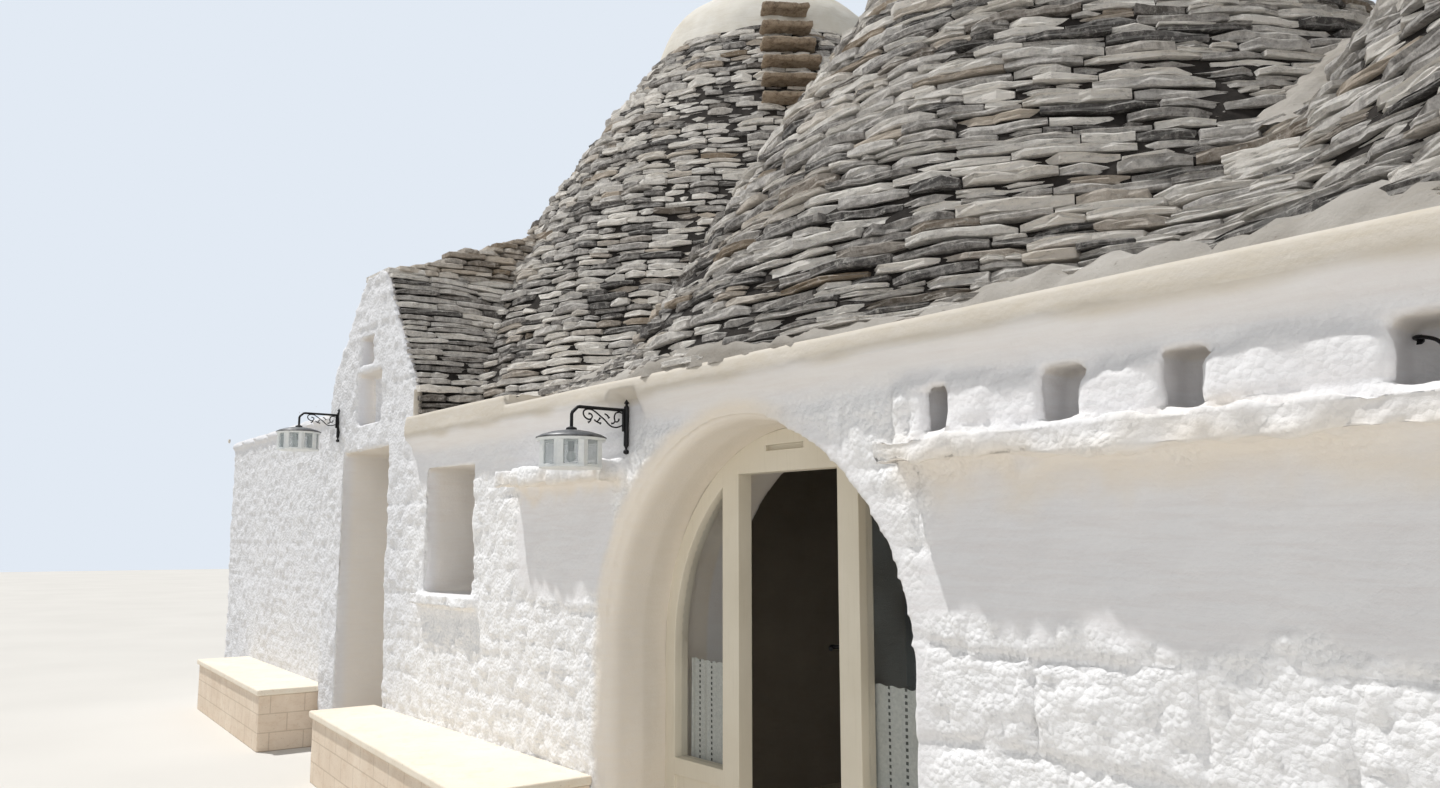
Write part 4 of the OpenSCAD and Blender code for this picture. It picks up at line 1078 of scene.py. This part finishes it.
# The front is fine where it shows outside, and coarse inside the rooms. It is cut
# into pieces, each in place of its CAD nodes: the first test that a face passes
FRONT_NODES = ["front_wall_left", "front_wall_middle", "arch_wall", "front_wall_right", "gable_wall",
    "wall_ledges", "window_sill", "front_coping", "middle_coping", "annex_parapet", "annex_coping"]
COPING_Z = WALL + 0.005
FRONT_PIECES = [
    ("gable_lime", ["gable_wall"],
        lambda x, y, z: (z > COPING_Z) & (x > GABLE_LEFT[0] + 0.02) & (x < GABLE_RIGHT[0] + 0.02)),
    ("annex_coping_lime", ["annex_parapet", "annex_coping"], lambda x, y, z: (z > COPING_Z) & (x < DOORWAY_X)),
    ("middle_coping_lime", ["middle_coping"],
        lambda x, y, z: (z > COPING_Z) & (x < MIDDLE_COPING_END)),
    ("front_coping_lime", ["front_coping"], lambda x, y, z: z > COPING_Z),
    ("ledge_lime", ["wall_ledges"], lambda x, y, z: (y < FACE - 0.03) & (z > 1.6) & (z < 1.98)),
    ("window_sill_lime", ["window_sill"], lambda x, y, z: (x > -2.2) & (x < -1.3) & (z > 1.14) & (z < 1.235)
        & ((y < FACE - 0.02) | ((x > -2.09) & (x < -1.39)))),
    ("front_wall_left_lime", ["front_wall_left"], lambda x, y, z: x < DOORWAY_X),
    ("front_wall_middle_lime", ["front_wall_middle"], lambda x, y, z: x < ARCH_WALL[0]),
    ("arch_wall_lime", ["arch_wall"], lambda x, y, z: x < ARCH_WALL[1]),
    ("front_wall_right_lime", ["front_wall_right"], lambda x, y, z: x >= ARCH_WALL[1]),
]
# How deep the fine skin goes, where the front is cut from the rest, and the voxels' sizes
SKIN = 0.62
CUT = (0, FACE + 1.02, 0)
FINE, EDGE, PLAIN = 0.02, 0.04, 0.055
front = limed(FRONT_NODES, FINE, clip(CUT, (0, 1, 0)))
hidden = face_middles(front)[:, 1] > FACE + SKIN
inner = modified(take(front, hidden, "front_inner_lime"), "DECIMATE", ratio=0.12)
piece("front_inner_lime", inner, LIME)
front = take(front, ~hidden, "front")
middles = face_middles(front).T
left = np.ones(middles.shape[1], dtype=bool)
for name, replaced, test in FRONT_PIECES:
    mask = test(*middles) & left
    left &= ~mask
    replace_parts(piece(name, take(front, mask, name), LIME), *replaced)


def rough_block(name, node, mat, size, amount, grain, flare=0.0, droop=0.0):
    """A CAD node as worn blocks with a rough skin; caps flare and droop over the top course."""
    me = voxels(solid_copy([node]), size * (1))
    p, n = points(me)
    d = amount * (0.8 * fbm(p, grain * 4, 2, 61) + fbm(p, grain, 3, 62))
    p = p + n * d[:, None]
    for c in (A, B, C):
        rim = DECK + c["h"]
        near = np.hypot(p[:, 0] - c["x"], p[:, 1] - c["y"]) < c["r1"] + 0.3
        low = np.where(near & (p[:, 2] > rim - 0.3), smooth(rim + 0.25, rim + 0.02, p[:, 2]), 0)
        p[:, 0] += flare * low * (p[:, 0] - c["x"]) / c["r1"]
        p[:, 1] += flare * low * (p[:, 1] - c["y"]) / c["r1"]
        p[:, 2] -= droop * low
    set_points(me, p)
    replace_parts(piece(name, me, mat), node)


for name, node in (("left_end_lime", "left_end_wall"), ("right_end_lime", "right_end_wall"),
        ("back_left_lime", "back_wall_left"), ("back_right_lime", "back_wall_right"),
        ("back_coping_lime", "back_coping")):
    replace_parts(piece(name, limed([node], PLAIN), LIME), node)
piece("annex_edge_behind", limed(["annex_parapet", "annex_coping"], EDGE, clip(CUT, (0, -1, 0))), LIME)
piece("right_coping_behind", limed(["front_coping"], EDGE, clip(CUT, (0, -1, 0))), LIME)
rough_block("cone_caps_plaster", "cone_caps", CAP, 0.035, 0.012, 0.25, 0.03, 0.11)
rough_block("pinnacles_plaster", "pinnacles", CAP, 0.02, 0.003, 0.1)
rough_block("step_stones", "cone_steps", BROWN_ROCK, 0.016, 0.007, 0.06)

# Pieces whose CAD shape stays, with their finish and the width of their soft edges
FINISHES = [
    (INNER, 0, ["annex_cross_wall", "left_cross_wall", "right_cross_wall"]),
    (PAVING, 0, ["floor_slabs"]),
    (BENCH_SIDE, 0.006, ["bench_bases"]),
    (TIMBER, 0.004, ["arch_door_frame", "door_leaf", "gable_door_frame", "window_frame"]),
    (TIMBER, 0.003, ["gable_door"]),
    (PANE, 0, ["window_glass", "sidelight_glass", "door_leaf_glass"]),
    (IRON, 0.001, ["frame_hinges", "leaf_hinges"]),
    (IRON, 0.002, ["door_handle"]),
]
for mat, bevel, names in FINISHES:
    for n in names:
        finish_node(n, mat, bevel)
finish_node("bench_seats", BENCH_TOP, 0.012, 3)


class Forms:
    """Bars and turned or cornered bodies gathered into one mesh."""

    def __init__(self):
        self.verts = []
        self.faces = []

    def loft(self, rings, ends=True):
        n, base = len(rings[0]), len(self.verts)
        for ring in rings:
            self.verts += ring
        for i in range(len(rings) - 1):
            for k in range(n):
                a, b = base + i * n + k, base + i * n + (k + 1) % n
                self.faces.append((a, b, b + n, a + n))
        if ends:
            self.faces.append(tuple(base + k for k in reversed(range(n))))
            self.faces.append(tuple(base + (len(rings) - 1) * n + k for k in range(n)))

    def bar(self, pts, radii, sides=8):
        pts = [Vector(q) for q in pts]
        rings, side = [], None
        for i, q in enumerate(pts):
            ahead = (pts[min(i + 1, len(pts) - 1)] - pts[max(i - 1, 0)]).normalized()
            side = side or ahead.orthogonal()
            side = (side - ahead * side.dot(ahead)).normalized()
            up = ahead.cross(side)
            r = radii[i] if isinstance(radii, list) else radii
            turns = [2 * math.pi * k / sides for k in range(sides)]
            rings.append([tuple(q + (side * math.cos(a) + up * math.sin(a)) * r) for a in turns])
        self.loft(rings)

    def object(self, name, mat, shade=False):
        me = mesh_from(name, self.verts, self.faces)
        tidy_normals(me)
        return piece(name, me, mat, shade)


def curve(pts, n=5):
    """A smooth line through points."""
    q = [pts[0]] + list(pts) + [pts[-1]]
    out = []
    for ends in zip(q, q[1:], q[2:], q[3:]):
        for k in range(n):
            t = k / n
            out.append([0.5 * (2 * b + (c - a) * t + (2 * a - 5 * b + 4 * c - d) * t * t
                + (3 * b - a - 3 * c + d) * t ** 3) for a, b, c, d in zip(*ends)])
    return out + [list(pts[-1])]


def turned(x, y, z, profile, sides=8):
    """Rings round an upright axis, each as its height above z and its radius."""
    turns = [math.radians(-7.5) + 2 * math.pi * k / sides for k in range(sides)]
    return [[(x + r * math.cos(a), y + r * math.sin(a), z + up) for a in turns] for up, r in profile]


# Wall lamps. The bar's turned outline as height and radius, and a vine of bent iron
# under the arm, as mm from the bar and mm under the arm
BAR = [(-0.207, 0.004), (-0.204, 0.011), (-0.197, 0.014), (-0.190, 0.013), (-0.184, 0.006), (-0.176, 0.006),
    (-0.166, 0.0125), (0.0, 0.0125), (0.016, 0.0125), (0.024, 0.006), (0.03, 0.006), (0.034, 0.0135),
    (0.052, 0.001)]
VINE = [
    [(12, 67), (27, 74), (53, 83), (80, 81), (99, 70), (118, 53), (141, 37), (168, 19), (190, 9), (216, 9),
        (231, 18), (232, 35), (221, 48), (204, 55), (191, 50), (186, 40), (192, 30), (204, 28)],
    [(192, 53), (198, 64), (206, 69)],
    [(14, 19), (40, 11), (60, 18), (67, 37), (64, 55), (72, 65), (81, 66)],
    [(66, 57), (51, 57), (43, 50), (42, 42)],
    [(175, 55), (160, 64), (140, 70)],
    [(158, 62), (151, 54), (144, 45)],
    [(119, 24), (107, 29), (95, 42)],
]
VINE_R = 0.0038
brackets, enamel, roofs, lamp_panes = Forms(), Forms(), Forms(), Forms()


def wall_lamp(x, arm_z):
    """A bracket with its vine, and an eight-sided lantern at the end of the arm."""
    bar_y, end = FACE - 0.011, FACE - LAMP_REACH
    brackets.bar([(x, bar_y, arm_z + up) for up, r in BAR], [r for up, r in BAR], 12)
    brackets.bar([(x, bar_y - 0.018, arm_z - 0.1), (x, bar_y - 0.018, arm_z + 0.004)], 0.006)
    arm = [(bar_y, 0), (end + 0.04, 0), (end + 0.03, -0.002), (end + 0.004, -0.026), (end, -0.036),
        (end, -0.106)]
    brackets.bar([(x, y, arm_z + up) for y, up in arm], 0.008, 10)
    brackets.bar([(x, end, arm_z + up) for up in (-0.094, -0.1, -0.108)], [0.010, 0.024, 0.026], 16)
    for line in VINE:
        pts = [(x, bar_y - a / 1000, arm_z - b / 1000) for a, b in curve(line)]
        brackets.bar(pts, [VINE_R] * (len(pts) - 2) + [0.006, 0.006], 6)
    eave, foot = arm_z - 0.150, arm_z - 0.285
    roofs.loft(turned(x, end, eave, [(0, 0.12), (0, 0.159), (0.005, 0.16), (0.018, 0.136), (0.030, 0.096),
        (0.038, 0.05), (0.041, 0.02)], 32))
    enamel.loft(turned(x, end, eave, [(-0.012, 0.13), (-0.012, 0.154), (0.0, 0.158), (0.0, 0.12)], 32))
    enamel.loft(turned(x, end, foot, [(0.0, 0.10), (0.0, 0.14), (0.003, 0.153), (0.014, 0.153),
        (0.018, 0.142), (0.018, 0.09)]))
    corners = [Vector(c) for c in turned(x, end, 0, [(0, 0.15)])[0]]
    for i, c in enumerate(corners):
        inward = (Vector((x, end, 0)) - c).normalized()
        a = (corners[i - 1] - c).normalized() * 0.024
        b = (corners[(i + 1) % 8] - c).normalized() * 0.024
        plan = [c, c + a, c + a + 0.006 * inward, c + 0.008 * inward, c + b + 0.006 * inward, c + b]
        enamel.loft([[(q.x, q.y, z) for q in plan] for z in (foot + 0.014, eave - 0.006)])
    pane = [(0.014, 0.146), (0.125, 0.146), (0.125, 0.143), (0.014, 0.143), (0.014, 0.146)]
    lamp_panes.loft(turned(x, end, foot, pane), False)
    bulb = [(0.03, 0.006), (0.034, 0.016), (0.048, 0.022), (0.064, 0.020), (0.08, 0.012)]
    enamel.loft(turned(x, end, foot, bulb, 16))
    holder = [(0.078, 0.013), (0.1, 0.015), (0.125, 0.015), (0.128, 0.03), (0.134, 0.03)]
    brackets.loft(turned(x, end, foot, holder, 16))


for lamp_x, arm_z in LAMPS:
    wall_lamp(lamp_x, arm_z)
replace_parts(brackets.object("lamp_brackets_iron", IRON), "lamp_brackets")
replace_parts(enamel.object("lantern_frames", ENAMEL), "lanterns")
roofs.object("lantern_roofs", LAMP_ROOF, shade=True)
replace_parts(lamp_panes.object("lantern_panes", LAMP_PANE), "lantern_glass")

# An iron hook in the fourth niche
hook = Forms()
hook.bar(curve([(3.60, FACE + 0.18, 2.035), (3.60, FACE + 0.15, 2.037), (3.625, FACE + 0.12, 2.033),
    (3.665, FACE + 0.1, 2.018), (3.69, FACE + 0.095, 1.992)]), 0.005)
hook.bar([(3.60, FACE + 0.183, 2.035), (3.60, FACE + 0.168, 2.036)], 0.014, 10)
hook.object("niche_hook", IRON)


def curtain(name, x0, x1, z0, z1, seed):
    """A gathered net behind a sidelight, hung from its upper edge."""
    r = random.Random(seed)
    fine = 2 * math.pi * 9 * r.uniform(0.8, 1.2)
    broad = 2 * math.pi * 5 * r.uniform(0.8, 1.2)
    verts, faces = [], []
    nx, nz = 90, 30
    for j in range(nz + 1):
        t = j / nz
        for i in range(nx + 1):
            s = i / nx
            fold = 0.55 * math.sin(fine * s + 0.5 * t) + 0.45 * math.sin(broad * s)
            sag = 0.008 * math.sin(math.pi * s) + 0.003 * math.sin(fine * s)
            y = FACE + 0.437 + 0.0045 * fold * (1 - 0.35 * t)
            verts.append((x0 + (x1 - x0) * s, y, z0 + (z1 - z0) * t - sag * t))
    for j in range(nz):
        for i in range(nx):
            a = j * (nx + 1) + i
            faces.append((a, a + 1, a + nx + 2, a + nx + 1))
    obj = piece(name, mesh_from(name, verts, faces), NET)
    return obj


lo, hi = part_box("net_curtains")
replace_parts(curtain("net_curtain_left", lo.x + 0.05, ARCH_X - 0.5, lo.z + 0.012, hi.z, 3), "net_curtains")
curtain("net_curtain_right", ARCH_X + 0.345, hi.x, lo.z + 0.012, hi.z, 9)


# Floor, backdrop and light
floor = mesh_from("floor", [(-60, -60, 0), (60, -60, 0), (60, 60, 0), (-60, 60, 0)], [(0, 1, 2, 3)])
linked("floor", floor)
k = Look("pale_floor", 0.9, 0.1)
k.colour(k.ramp(k.noise(0.6, 2, 0.5), [(0.3, (214, 211, 206)), (0.8, (220, 217, 212))]))
floor.materials.append(k.mat)

world = bpy.data.worlds.new("world")
scene.world = world
world.use_nodes = True
sky = Tree(world.node_tree)
lighting = world.node_tree.nodes["Background"]
lighting.inputs["Color"].default_value = (0.86, 0.93, 1.0, 1)
lighting.inputs["Strength"].default_value = 0.27
backdrop = sky.node("ShaderNodeBackground", Color=srgb((226, 234, 244)), Strength=1.0)
ray = sky.node("ShaderNodeLightPath").outputs
seen = sky.math("MAXIMUM", ray["Is Camera Ray"], ray["Is Glossy Ray"])
mixed = sky.node("ShaderNodeMixShader", Fac=sky.math("MAXIMUM", seen, ray["Is Transmission Ray"]))
sky.put(mixed.inputs[1], lighting.outputs[0])
sky.put(mixed.inputs[2], backdrop.outputs[0])
sky.put(world.node_tree.nodes["World Output"].inputs["Surface"], mixed.outputs[0])


def sun(name, along, strength, angle, colour):
    light = bpy.data.lights.new(name, "SUN")
    light.energy = strength
    light.angle = math.radians(angle)
    light.color = colour
    aim(linked(name, light), along)


sun("key", (0.42, 0.225, -1.0), 3.3, 1.2, (1.0, 0.985, 0.96))
sun("fill", (-1.0, 0.85, -0.2), 0.8, 60, (1.0, 0.975, 0.94))

scene.view_settings.view_transform = "Standard"
